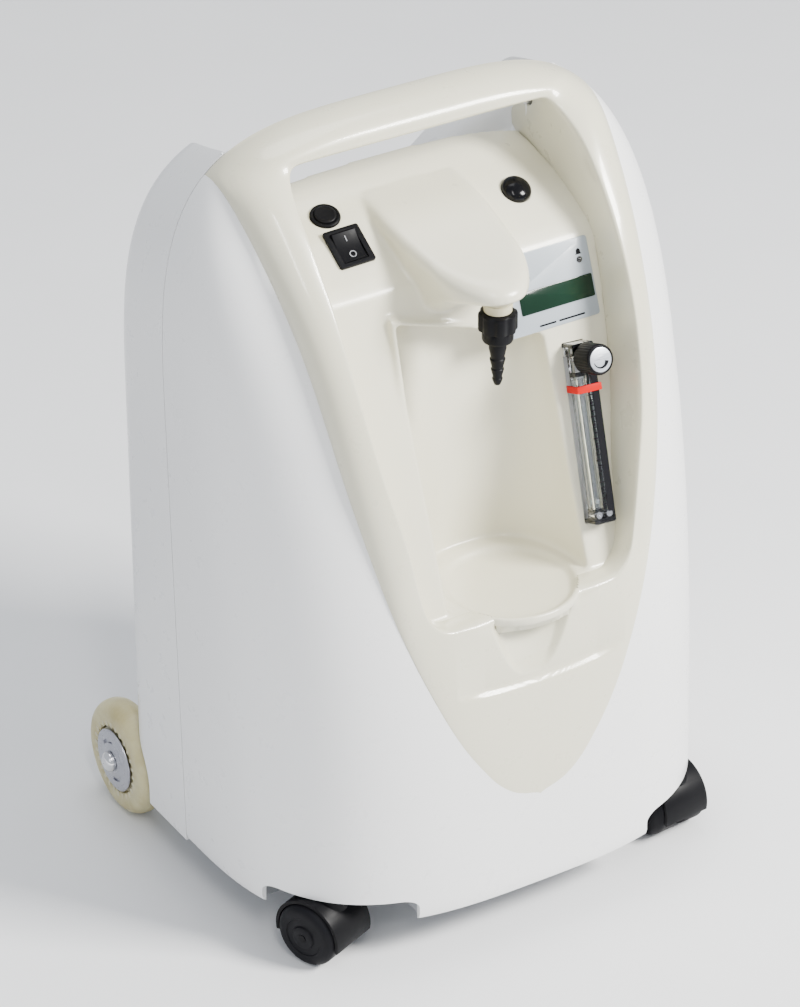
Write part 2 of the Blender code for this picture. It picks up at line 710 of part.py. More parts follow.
# reset button and its collar
BP, BS, BU, BN = roof_frame(-72.0, 531.0)
boolean(panel, lathe("reset_seat", ((11.4, -1.4), (11.4, 12)), BP, BN, 24, cutter=True))
boolean(panel, lathe("reset_hole", ((9.6, -12), (9.6, 4)), BP, BN, 24, cutter=True))
lathe("reset_collar", ((8.4, -9), (9.3, -9), (9.3, -0.9), (11.0, -0.9), (11.0, 0.8), (10.2, 1.6), (8.4, 1.6)), BP, BN, 16, "black", hollow=True)
lathe("reset_button", ((8.1, -7), (8.1, 2.0), (7.0, 2.8), (0.6, 3.0)), BP, BN, 20, "black")

# domed cap at the right
CP, CS, CU, CN = roof_frame(74.0, 520.5)
boolean(panel, lathe("cap_seat", ((11.8, -1.0), (11.8, 12)), CP, CN, 24, cutter=True))
boolean(panel, lathe("cap_hole", ((6.0, -12), (6.0, 4)), CP, CN, 20, cutter=True))
lathe("round_cap", ((5.6, -9), (5.6, -0.6), (11.2, -0.6), (11.2, 1.8), (9.8, 4.2), (6.8, 6.0), (3.0, 6.9), (0.5, 7.0)), CP, CN, 24, "black")

# label plate, display window and lamp, all on the flat face
LP = np.array([0.0, face_y(459.0), 459.0])
film = [(25.0, -24.0), (107.5, -24.0), (107.5, 34.0), (47.0, 34.0), (47.0, 7.6), (25.0, 7.6)]
slab("label_panel", film, LP, XAX, FACE_UP, FACE_OUT, 0.1, 0.8, "label")
slab("lcd_window", rect(75.5, -1.9, 62.0, 16.6, 1.0, 2), LP, XAX, FACE_UP, FACE_OUT, 0.9, 1.5, "lcd")
lathe("status_led", ((2.0, 0.9), (2.0, 1.5), (1.2, 2.2), (0.3, 2.4)), LP + XAX * 99.0 + FACE_UP * 18.0, FACE_OUT, 12, "black")

# ---------------------------------------------------------------- flowmeter
FU = np.array([0.066, 0.381, 1.0])
FU /= np.linalg.norm(FU)
FN = FACE_OUT - FU * np.dot(FACE_OUT, FU)
FN /= np.linalg.norm(FN)
FS = np.cross(FU, FN)
FS = FS if FS[0] > 0 else -FS
FP = np.array([77.0, face_y(362.0), 362.0])


def meter(a, b, c):
    return FP + FS * a + FU * b + FN * c


boolean(panel, slab("meter_pocket", rect(0, 0, 18.8, 132.8, 1.0, 1), FP, FS, FU, FN, -12, 12, cutter=True))
body = slab("flowmeter_body", rect(0, 0, 18.0, 132.0, 0.8, 2), FP, FS, FU, FN, -5.0, 14.0, "acrylic")
boolean(body, lathe("meter_bore", ((3.5, -70), (3.5, 40)), meter(-1.5, 0, 6.5), FU, 16, cutter=True))
boolean(body, lathe("meter_stem_bore", ((3.0, 4.0), (3.0, 20)), meter(1.0, 55, 0), FN, 16, cutter=True))
lathe("flowmeter_float", ((0.4, -3.0), (2.0, -2.4), (3.1, -0.8), (3.1, 0.8), (2.0, 2.4), (0.4, 3.0)), meter(-1.5, -50, 6.5), FU, 14, "steel")
slab("flowmeter_scale", rect(5.4, -8, 5.6, 104.0, 0.4, 1), FP, FS, FU, FN, 14.1, 14.6, "black")
band = slab("flow_limit_band", rect(0, 33.0, 20.6, 5.5, 0.5, 1), FP, FS, FU, FN, 0.8, 16.0, "red")
boolean(band, slab("band_core", rect(0, 33.0, 18.6, 12.0, 0.5, 1), FP, FS, FU, FN, -4, 14.9, cutter=True))
KN = 12
knob_rings = []
for r, h in ((2.7, 5.0), (2.7, 14.8), (10.4, 14.8), (11.3, 15.8), (11.3, 33.0), (10.4, 34.2), (8.2, 34.2), (8.2, 33.4)):
    ring = []
    for i in range(KN * 2):
        a = math.pi * i / KN
        rr = r - (0.5 if (i % 2 and 11.0 < r) else 0.0)
        ring.append(meter(1.0, 55, 0) + FN * h + FS * rr * math.cos(a) + FU * rr * math.sin(a))
    knob_rings.append(ring)
stack("flowmeter_knob", knob_rings, "black")
lathe("knob_disc", ((7.8, 33.7), (7.8, 34.6), (7.2, 34.9)), meter(1.0, 55, 0), FN, 24, "steel")

# ---------------------------------------------------------------- outlet
OX, OY = 0.0, -69.0
boolean(panel, lathe("port_seat", ((11.8, 0), (11.8, 12.2)), (OX, OY, 480), (0, 0, 1), 20, cutter=True))
boolean(panel, lathe("port_hole", ((7.5, 0), (7.5, 26)), (OX, OY, 482), (0, 0, 1), 20, cutter=True))
lathe("outlet_port", ((5.4, 471.4), (5.4, 488.4), (10.5, 488.4), (10.5, 491.4), (7.1, 491.8), (7.1, 506)), (OX, OY, 0), (0, 0, 1), 20, "nylon")
nut = lathe("outlet_nut", ((3.6, 461), (10.4, 461), (11.4, 462.5), (11.4, 469.0), (14.0, 470.0), (14.0, 483.0), (11.5, 484.5), (11.5, 487.6), (5.8, 487.6), (5.8, 466.5), (3.6, 466.5)), (OX, OY, 0), (0, 0, 1), 18, "black", hollow=True)
lathe("outlet_barb", ((1.6, 470.8), (1.6, 426), (2.4, 426), (3.9, 430.5), (3.3, 431.5), (4.8, 438), (4.1, 439), (5.7, 446), (4.9, 447.2), (6.4, 455), (6.4, 460.6), (3.3, 460.6), (3.3, 466.8), (5.2, 466.8), (5.2, 470.8)), (OX, OY, 0), (0, 0, 1), 12, "black", hollow=True)


# ---------------------------------------------------------------- base tray
def plan(z, off, n_a):
    """Body outline at height z, inset by off."""
    w, d, ys = float(half_width(z)) - off, float(dome_depth(z)) - off, float(seam_y(z))
    ring = []
    for a in np.linspace(-math.pi / 2, math.pi / 2, n_a):
        s, c = math.sin(a), max(math.cos(a), 0.0)
        ring.append((w * math.copysign(abs(s) ** (2 / ND), s), ys - d * c ** (2 / ND), z))
    r, yr = RREAR - off, YREAR - off
    for k in range(6):
        a = math.pi / 2 * k / 5
        ring.append((w - r + r * math.cos(a), yr - r + r * math.sin(a), z))
    for k in range(6):
        a = math.pi / 2 * (1 - k / 5)
        ring.append((-(w - r + r * math.cos(a)), yr - r + r * math.sin(a), z))
    return ring


SWX, SWY = 150.0, -86.0
tray = stack("base_tray", [plan(36.5, 8.5, 19), plan(40.5, 5.6, 19)], "tray")
limit = stack("tray_limit", [plan(30.0, 5.6, 19), plan(128.0, 5.6, 19)], cutter=True)
for sx, tag in ((-1, "l"), (1, "r")):
    def span(a, b):
        return sorted((sx * a, sx * b))
    x0, x1 = span(97.0, 240.0)
    boolean(tray, box("tray_notch_" + tag, (x0, -220, 10), (x1, -41.0, 57.4), cutter=True))
    x0, x1 = span(94.0, 240.0)
    x2, x3 = span(97.0, 260.0)
    pad = box("tray_pad_" + tag, (x0, -220, 37.0), (x1, -38.0, 61.4), cutter=True)
    boolean(pad, box("tray_pad_core_" + tag, (x2, -240, 0), (x3, -41.0, 57.4), cutter=True))
    boolean(pad, limit, "INTERSECT")
    boolean(tray, pad, "UNION")
    boolean(tray, lathe("stem_hole_" + tag, ((5.4, 0), (5.4, 30)), (sx * SWX, SWY, 45), (0, 0, 1), 20, cutter=True))
    liner = lathe("well_liner_" + tag, ((54.4, 0), (54.4, 34)), (sx * 160.0, WHEEL_Y, WHEEL_Z), (sx, 0, 0), 28, cutter=True)
    boolean(liner, lathe("well_space_" + tag, ((51.3, 0), (51.3, 60)), (sx * 163.4, WHEEL_Y, WHEEL_Z), (sx, 0, 0), 28, cutter=True))
    x0, x1 = span(163.4, 240.0)
    boolean(liner, box("well_foot_" + tag, (x0, WHEEL_Y - 51.3, -30), (x1, 260, WHEEL_Z), cutter=True))
    x0, x1 = span(150.0, 240.0)
    boolean(liner, box("well_low_" + tag, (x0, 60, -40), (x1, 300, 37.0), cutter=True))
    boolean(liner, limit, "INTERSECT")
    x0, x1 = span(163.4, 240.0)
    boolean(tray, box("tray_wheel_" + tag, (x0, WHEEL_Y - 51.3, 10), (x1, 260, 50), cutter=True))
    boolean(tray, liner, "UNION")
    # arm that reaches out under the rear shell and carries the axle
    arm = [(118, 30), (140, 27), (166, 30), (171, 36), (171, 54), (166, 58), (152, 58), (150.5, 54), (150.5, 34.2), (140, 34.2), (140, 38.5), (118, 38.5)]
    boolean(tray, slab("axle_arm_" + tag, arm, (sx * 150.0, 0, 0), (0, 1, 0), (0, 0, 1), (sx, 0, 0), -4.0, 4.0, cutter=True), "UNION")
    boolean(tray, lathe("axle_hole_" + tag, ((6.3, 0), (6.3, 30)), (sx * 135.0, 160.0, WHEEL_Z), (sx, 0, 0), 20, cutter=True))

# ---------------------------------------------------------------- casters
for sx, tag, turn in ((-1, "l", 22.0), (1, "r", 5.5)):
    t = math.radians(turn)
    U = np.array([math.cos(t), math.sin(t), 0.0])
    V = np.array([-math.sin(t), math.cos(t), 0.0])
    Z = np.array([0.0, 0.0, 1.0])
    piv = np.array([sx * SWX, SWY, 0.0])
    hub = piv + V * 9.0 + Z * 25.0
    lathe("caster_stem_" + tag, ((5.0, 50.6), (9.0, 51.3), (9.0, 53.2), (5.0, 53.4), (5.0, 70.0), (4.0, 71.0)), piv, (0, 0, 1), 14, "steel")
    # hood: a shell over the top of both wheels with a middle web and a stem socket
    arc = [(25.5 * math.cos(a), 25.5 * math.sin(a)) for a in np.linspace(math.radians(-12), math.radians(192), 13)]
    arc2 = [(28.3 * math.cos(a), 28.3 * math.sin(a)) for a in np.linspace(math.radians(192), math.radians(-12), 13)]
    hood = slab("caster_hood_" + tag, arc + arc2, hub, V, Z, U, -20.0, 20.0, "black")
    web = slab("caster_web_" + tag, [(22.0 * math.cos(a), 22.0 * math.sin(a)) for a in np.linspace(-2.6, -0.54, 8)] + [(27.2 * math.cos(a), 27.2 * math.sin(a)) for a in np.linspace(-0.1, math.pi + 0.1, 9)], hub, V, Z, U, -3.0, 3.0, cutter=True)
    boolean(hood, web, "UNION")
    boolean(hood, lathe("caster_boss_" + tag, ((8.0, 30.0), (11.6, 46.0), (11.6, 53.3)), piv, (0, 0, 1), 18, cutter=True), "UNION")
    for k, sgn in (("a", -1), ("b", 1)):
        boolean(hood, lathe("caster_room_" + tag + k, ((25.7, 2.7), (25.7, 40.0)), hub, U * sgn, 20, cutter=True))
    boolean(hood, lathe("caster_socket_" + tag, ((5.3, 50.2), (9.4, 50.9), (9.4, 60.0)), piv, (0, 0, 1), 18, cutter=True))
    boolean(hood, lathe("caster_pin_hole_" + tag, ((3.3, -30.0), (3.3, 30.0)), hub, U, 14, cutter=True))
    for k, sgn in (("a", -1), ("b", 1)):
        prof = ((3.3, 3.6), (15.0, 3.6), (23.5, 4.2), (25.0, 6.0), (25.0, 19.0), (23.4, 22.0), (19.0, 24.2), (8.0, 25.6), (3.3, 25.6))
        lathe("caster_wheel_" + tag + k, prof, hub, U * sgn, 20, "black", hollow=True)
    lathe("caster_axle_" + tag, ((3.05, -26.0), (3.05, 26.0)), hub, U, 14, "steel")

# ---------------------------------------------------------------- rear wheels
for sx, tag in ((-1, "l"), (1, "r")):
    hub = np.array([sx * 185.0, WHEEL_Y, WHEEL_Z])
    ax = (sx, 0, 0)
    lathe("rear_tyre_" + tag, ((27.2, -12), (38.0, -12), (43.5, -10.5), (46.0, -6.5), (46.0, 6.5), (43.5, 10.5), (38.0, 12.0), (27.2, 12.0)), hub, ax, 28, "tyre", hollow=True)
    lathe("rear_hub_" + tag, ((6.3, -13), (12.0, -13), (12.0, -9), (26.8, -8), (26.8, 8.0), (20.0, 8.4), (11.0, 8.6), (11.0, 11.0), (6.3, 11.0)), hub, ax, 20, "nylon", hollow=True)
    lathe("rear_cap_" + tag, ((6.6, 11.6), (23.5, 11.6), (25.2, 12.3), (25.2, 13.2), (22.0, 13.8), (10.0, 14.6), (6.6, 14.6)), hub, ax, 24, "steel", hollow=True)
    lathe("rear_bolt_" + tag, ((4.4, 12.0), (5.8, 12.0), (5.8, 15.0), (8.0, 15.0), (8.0, 17.0), (7.0, 19.6), (4.6, 21.2), (1.5, 21.8), (0.4, 21.8), (0.4, 16.6), (4.4, 16.0)), hub, ax, 12, "chrome", hollow=True)
lathe("rear_axle", ((4.0, -198.0), (4.0, -197.0), (6.0, -196.6), (6.0, 196.6), (4.0, 197.0), (4.0, 198.0)), (0, WHEEL_Y, WHEEL_Z), (1, 0, 0), 20, "steel")

# ---------------------------------------------------------------- rear service side
def on_rear(x, z):
    return np.array([x, YREAR, z])


BACK = np.array([0.0, 1.0, 0.0])
ZAX = np.array([0.0, 0.0, 1.0])
boolean(rear, slab("filter_opening", rect(0, 0, 132.6, 112.6, 6, 2), on_rear(0, 350), XAX, ZAX, BACK, -12, 12, cutter=True))
cover = slab("filter_cover", rect(0, 0, 132.0, 112.0, 6, 2), on_rear(0, 350), XAX, ZAX, BACK, -6.0, 1.5, "shell")
boolean(cover, slab("filter_cover_hollow", rect(0, 0, 127.0, 107.0, 4, 2), on_rear(0, 350), XAX, ZAX, BACK, -9.0, -1.5, cutter=True))
for k in range(7):
    boolean(cover, slab("filter_slot_%d" % k, rect(0, 0, 96.0, 6.0, 2.9, 1), on_rear(0, 350 - 36 + 12 * k), XAX, ZAX, BACK, -9, 6, cutter=True))
slab("filter_foam", rect(0, 0, 124.0, 104.0, 4, 1), on_rear(0, 350), XAX, ZAX, BACK, -14.0, -2.0, "foam")
boolean(rear, slab("exhaust_opening", rect(0, 0, 118.6, 88.6, 5, 2), on_rear(0, 118), XAX, ZAX, BACK, -12, 12, cutter=True))
grille = slab("exhaust_grille", rect(0, 0, 118.0, 88.0, 5, 2), on_rear(0, 118), XAX, ZAX, BACK, -3.5, 1.0, "grille")
for k in range(6):
    boolean(grille, slab("exhaust_slot_%d" % k, rect(0, 0, 104.0, 7.0, 3.4, 1), on_rear(0, 118 - 32.5 + 13 * k), XAX, ZAX, BACK, -9, 6, cutter=True))
boolean(rear, slab("inlet_opening", rect(0, 0, 30.6, 24.6, 2, 1), on_rear(-112, 96), XAX, ZAX, BACK, -12, 12, cutter=True))
inlet = slab("power_inlet", rect(0, 0, 38.0, 30.0, 3, 2), on_rear(-112, 96), XAX, ZAX, BACK, 0.2, 2.2, "black")
boolean(inlet, slab("inlet_body", rect(0, 0, 30.0, 24.0, 2, 1), on_rear(-112, 96), XAX, ZAX, BACK, -24.0, 1.0, cutter=True), "UNION")
boolean(inlet, slab("inlet_socket", rect(0, 0, 24.0, 16.5, 3, 1), on_rear(-112, 96), XAX, ZAX, BACK, -18.0, 6.0, cutter=True))
for k, (px, pz) in enumerate(((-7.0, -2.0), (7.0, -2.0), (0.0, 2.6))):
    boolean(inlet, slab("inlet_pin_%d" % k, rect(px, pz, 2.0, 4.0, 0.5, 1), on_rear(-112, 96), XAX, ZAX, BACK, -19.0, -3.0, cutter=True), "UNION")

# ---------------------------------------------------------------- inside
motor = lathe("compressor_motor", ((30.0, -62), (44.0, -56), (44.0, 56), (30.0, 62)), (0, 22, 108), (1, 0, 0), 24, "alloy")
boolean(motor, box("motor_foot", (-48, -14, 57), (48, 58, 76), cutter=True), "UNION")
for sx, tag in ((-1, "l"), (1, "r")):
    x0, x1 = sorted((sx * 60.0, sx * 98.0))
    head = box("compressor_head_" + tag, (x0, -4, 78), (x1, 48, 150), cutter=True)
    bevel(head, 5, 1)
    boolean(motor, head, "UNION")
for k, (mx, my) in enumerate(((-38, -4), (38, -4), (-38, 48), (38, 48))):
    lathe("isolation_mount_%d" % (k + 1), ((9.0, 40.8), (9.0, 45), (6.5, 49), (9.0, 53), (9.0, 56.7)), (mx, my, 0), (0, 0, 1), 14, "rubber")
fan = box("fan_frame", (-45, 100, 73), (45, 122, 163), "black")
boolean(fan, lathe("fan_duct", ((41.5, -20), (41.5, 20)), (0, 111, 118), (0, 1, 0), 28, cutter=True))
boolean(fan, box("fan_spider_1", (-43, 117.5, 115.5), (43, 120.5, 120.5), cutter=True), "UNION")
boolean(fan, box("fan_spider_2", (-2.5, 117.5, 75), (2.5, 120.5, 161), cutter=True), "UNION")
boolean(fan, lathe("fan_motor", ((13.0, 114.6), (13.0, 120.5)), (0, 0, 118), (0, 1, 0), 20, cutter=True), "UNION")
rotor = lathe("fan_rotor", ((14.5, 102.5), (15.5, 103.0), (15.5, 113.8)), (0, 0, 118), (0, 1, 0), 20, "black")
for k in range(7):
    a = 2 * math.pi * k / 7
    er = np.array([math.cos(a), 0.0, math.sin(a)])
    et = np.array([-math.sin(a), 0.0, math.cos(a)])
    ey = np.array([0.0, 1.0, 0.0])
    c = np.array([0.0, 108.5, 118.0])
    rings = []
    for r, chord, pitch in ((13.0, 9.0, 0.9), (39.5, 17.0, 0.45)):
        d = et * math.cos(pitch) + ey * math.sin(pitch) * 0.55
        nrm = np.cross(d / np.linalg.norm(d), er)
        rings.append([c + er * r + d * chord / 2 * s1 + nrm * 0.8 * s2 for s1, s2 in ((-1, -1), (1, -1), (1, 1), (-1, 1))])
    boolean(rotor, stack("fan_blade_%d" % k, rings, cutter=True), "UNION")
for sx, tag in ((-1, "l"), (1, "r")):
    lathe("sieve_bed_" + tag, ((8.0, 196), (8.0, 204), (33.0, 204), (33.0, 214), (31.0, 216), (31.0, 440), (33.0, 442), (33.0, 452), (8.0, 452), (8.0, 460)), (sx * 78, 78, 0), (0, 0, 1), 14, "alloy")
valve = box("valve_block", (-42, 62, 214), (42, 94, 246), "alloy")
boolean(valve, lathe("valve_coils", ((9.0, 0), (9.0, 26)), (-20, 78, 240), (0, 0, 1), 16, cutter=True), "UNION")
boolean(valve, lathe("valve_coil_2", ((9.0, 0), (9.0, 26)), (20, 78, 240), (0, 0, 1), 16, cutter=True), "UNION")
lathe("product_tank", ((6.0, 222), (6.0, 228), (22.0, 232), (27.0, 240), (27.0, 400), (22.0, 408), (6.0, 412), (6.0, 420)), (-142, 62, 0), (0, 0, 1), 18, "shell")
box("control_board", (66, 2, 300), (150, 4, 420), "board")
coil = [(150 + 22 * math.cos(t), 50 + 22 * math.sin(t), 96 + t * 3.2) for t in np.linspace(0, 2 * math.pi * 4, 33)]
sweep("cooling_coil", coil, 4.0, 6, "copper")
sweep("product_hose", smooth_path(((-142, 62, 421), (-142, 60, 450), (-120, 46, 474), (-60, 40, 482), (20, 40, 482), (84, 26, 470), (100, 14, 444), (98, 10, 424)), 3), 4.0, 7, "hose")
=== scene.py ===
import bpy
import bmesh
import json
import math
import numpy as np
from mathutils import Matrix, Vector

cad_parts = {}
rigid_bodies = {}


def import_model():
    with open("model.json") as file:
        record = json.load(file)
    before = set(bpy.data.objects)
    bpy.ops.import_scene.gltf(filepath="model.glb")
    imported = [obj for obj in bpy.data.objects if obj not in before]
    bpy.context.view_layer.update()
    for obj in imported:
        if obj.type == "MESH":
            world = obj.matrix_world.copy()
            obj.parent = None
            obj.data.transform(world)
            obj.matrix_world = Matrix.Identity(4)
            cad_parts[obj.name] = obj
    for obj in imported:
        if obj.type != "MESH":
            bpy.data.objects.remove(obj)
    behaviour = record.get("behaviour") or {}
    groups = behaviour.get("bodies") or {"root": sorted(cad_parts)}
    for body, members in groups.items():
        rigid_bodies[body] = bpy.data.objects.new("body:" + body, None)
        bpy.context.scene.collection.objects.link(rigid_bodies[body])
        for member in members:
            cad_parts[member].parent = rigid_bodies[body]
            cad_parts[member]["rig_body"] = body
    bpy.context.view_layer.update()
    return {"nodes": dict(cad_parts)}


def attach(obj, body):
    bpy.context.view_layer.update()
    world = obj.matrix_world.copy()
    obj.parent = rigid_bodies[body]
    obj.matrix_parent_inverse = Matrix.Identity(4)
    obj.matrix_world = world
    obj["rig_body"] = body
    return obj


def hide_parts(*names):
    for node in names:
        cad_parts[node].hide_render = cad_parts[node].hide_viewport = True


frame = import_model()
NODES = frame["nodes"]
SCENE = bpy.context.scene
NODE_BODY = {n: o["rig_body"] for n, o in NODES.items()}
DATUM_Y = 36.0
WALL = 3.0
SHELL_WALL = 3.0


# ---------------------------------------------------------------- materials
def shader(name):
    mat = bpy.data.materials.new(name)
    mat.use_nodes = True
    tree = mat.node_tree
    return mat, tree, tree.nodes["Principled BSDF"]


def coords(tree, scale=None):
    tc = tree.nodes.new("ShaderNodeTexCoord")
    if scale is None:
        return tc.outputs["Object"]
    mp = tree.nodes.new("ShaderNodeMapping")
    mp.inputs["Scale"].default_value = scale
    tree.links.new(tc.outputs["Object"], mp.inputs["Vector"])
    return mp.outputs["Vector"]


def noise(tree, vec, scale, detail=3.0, rough=0.5):
    n = tree.nodes.new("ShaderNodeTexNoise")
    n.inputs["Scale"].default_value = scale
    n.inputs["Detail"].default_value = detail
    n.inputs["Roughness"].default_value = rough
    tree.links.new(vec, n.inputs["Vector"])
    return n.outputs["Fac"]


def spread(tree, fac, lo, hi, a=0.3, b=0.7):
    m = tree.nodes.new("ShaderNodeMapRange")
    m.inputs["From Min"].default_value = a
    m.inputs["From Max"].default_value = b
    m.inputs["To Min"].default_value = lo
    m.inputs["To Max"].default_value = hi
    tree.links.new(fac, m.inputs["Value"])
    return m.outputs["Result"]


def two_colors(tree, fac, c1, c2, a=0.35, b=0.65):
    r = tree.nodes.new("ShaderNodeValToRGB")
    r.color_ramp.elements[0].position = a
    r.color_ramp.elements[0].color = (*c1, 1)
    r.color_ramp.elements[1].position = b
    r.color_ramp.elements[1].color = (*c2, 1)
    tree.links.new(fac, r.inputs["Fac"])
    return r.outputs["Color"]


def bump(tree, height, strength, distance, normal=None):
    b = tree.nodes.new("ShaderNodeBump")
    b.inputs["Strength"].default_value = strength
    b.inputs["Distance"].default_value = distance
    tree.links.new(height, b.inputs["Height"])
    if normal is not None:
        tree.links.new(normal, b.inputs["Normal"])
    return b.outputs["Normal"]


def moulded(name, color, rough, coat=0.0, coat_rough=0.1, grain=0.03, wave=0.0, vary=0.03, metal=0.0, spec=0.5, sub=0.0, sheen=0.0):
    """Moulded or lacquered surface: faint colour drift, handling marks in the gloss, fine texture."""
    mat, tree, bsdf = shader(name)
    vec = coords(tree)
    drift = noise(tree, vec, 9.0, 4.0)
    lo = tuple(max(c * (1 - vary), 0) for c in color)
    hi = tuple(min(c * (1 + vary * 0.6), 1) for c in color)
    tree.links.new(two_colors(tree, drift, lo, hi), bsdf.inputs["Base Color"])
    marks = noise(tree, vec, 55.0, 6.0, 0.65)
    tree.links.new(spread(tree, marks, rough * 0.82, rough * 1.25), bsdf.inputs["Roughness"])
    normal = bump(tree, noise(tree, vec, 2600.0, 2.0), grain, 0.00012)
    if wave:
        normal = bump(tree, noise(tree, vec, 26.0, 1.0), wave, 0.002, normal)
    tree.links.new(normal, bsdf.inputs["Normal"])
    bsdf.inputs["Metallic"].default_value = metal
    bsdf.inputs["Specular IOR Level"].default_value = spec
    bsdf.inputs["Coat Weight"].default_value = coat
    bsdf.inputs["Coat Roughness"].default_value = coat_rough
    if sub:
        bsdf.inputs["Subsurface Weight"].default_value = sub
        bsdf.inputs["Subsurface Radius"].default_value = (0.004, 0.003, 0.0015)
        bsdf.inputs["Subsurface Scale"].default_value = 1.0
    return mat


def metal(name, color, rough, brushed=None, vary=0.1, grain=0.1):
    """Metal with turning or drawing marks along one direction."""
    mat, tree, bsdf = shader(name)
    vec = coords(tree, brushed or (60.0, 60.0, 60.0))
    lines = noise(tree, vec, 6.0, 5.0, 0.6)
    lo = tuple(c * (1 - vary) for c in color)
    tree.links.new(two_colors(tree, lines, lo, color), bsdf.inputs["Base Color"])
    tree.links.new(spread(tree, lines, rough * 0.7, rough * 1.4), bsdf.inputs["Roughness"])
    tree.links.new(bump(tree, lines, grain, 0.0002), bsdf.inputs["Normal"])
    bsdf.inputs["Metallic"].default_value = 1.0
    return mat


def clear_plastic(name, color, rough=0.03):
    mat, tree, bsdf = shader(name)
    vec = coords(tree)
    fine = noise(tree, vec, 70.0, 4.0)
    tree.links.new(two_colors(tree, fine, color, tuple(min(c * 1.05, 1) for c in color)), bsdf.inputs["Base Color"])
    tree.links.new(spread(tree, fine, rough, rough * 2.5), bsdf.inputs["Roughness"])
    tree.links.new(bump(tree, fine, 0.04, 0.0004), bsdf.inputs["Normal"])
    bsdf.inputs["Transmission Weight"].default_value = 1.0
    bsdf.inputs["IOR"].default_value = 1.49
    return mat


def tyre_rubber(name, color, dark):
    """Cast polyurethane, yellowed unevenly and soft to light."""
    mat, tree, bsdf = shader(name)
    vec = coords(tree)
    blotch = noise(tree, vec, 38.0, 6.0, 0.6)
    tree.links.new(two_colors(tree, blotch, dark, color, 0.3, 0.6), bsdf.inputs["Base Color"])
    tree.links.new(spread(tree, noise(tree, vec, 160.0, 4.0), 0.3, 0.55), bsdf.inputs["Roughness"])
    tree.links.new(bump(tree, noise(tree, vec, 420.0, 4.0), 0.12, 0.0004), bsdf.inputs["Normal"])
    bsdf.inputs["Subsurface Weight"].default_value = 0.25
    bsdf.inputs["Subsurface Radius"].default_value = (0.006, 0.005, 0.002)
    bsdf.inputs["Subsurface Scale"].default_value = 1.0
    return mat


def foam_cells(name):
    mat, tree, bsdf = shader(name)
    vec = coords(tree)
    v = tree.nodes.new("ShaderNodeTexVoronoi")
    v.inputs["Scale"].default_value = 700.0
    tree.links.new(vec, v.inputs["Vector"])
    # painted shade: the cell pits (low in the bump) are coloured darker than the rims, on top of the foam's own
    # near-black colour
    tree.links.new(two_colors(tree, v.outputs["Distance"], (0.01, 0.01, 0.012), (0.08, 0.08, 0.09), 0.1, 0.6), bsdf.inputs["Base Color"])
    tree.links.new(bump(tree, v.outputs["Distance"], 0.9, 0.001), bsdf.inputs["Normal"])
    tree.links.new(spread(tree, v.outputs["Distance"], 0.8, 1.0), bsdf.inputs["Roughness"])
    return mat


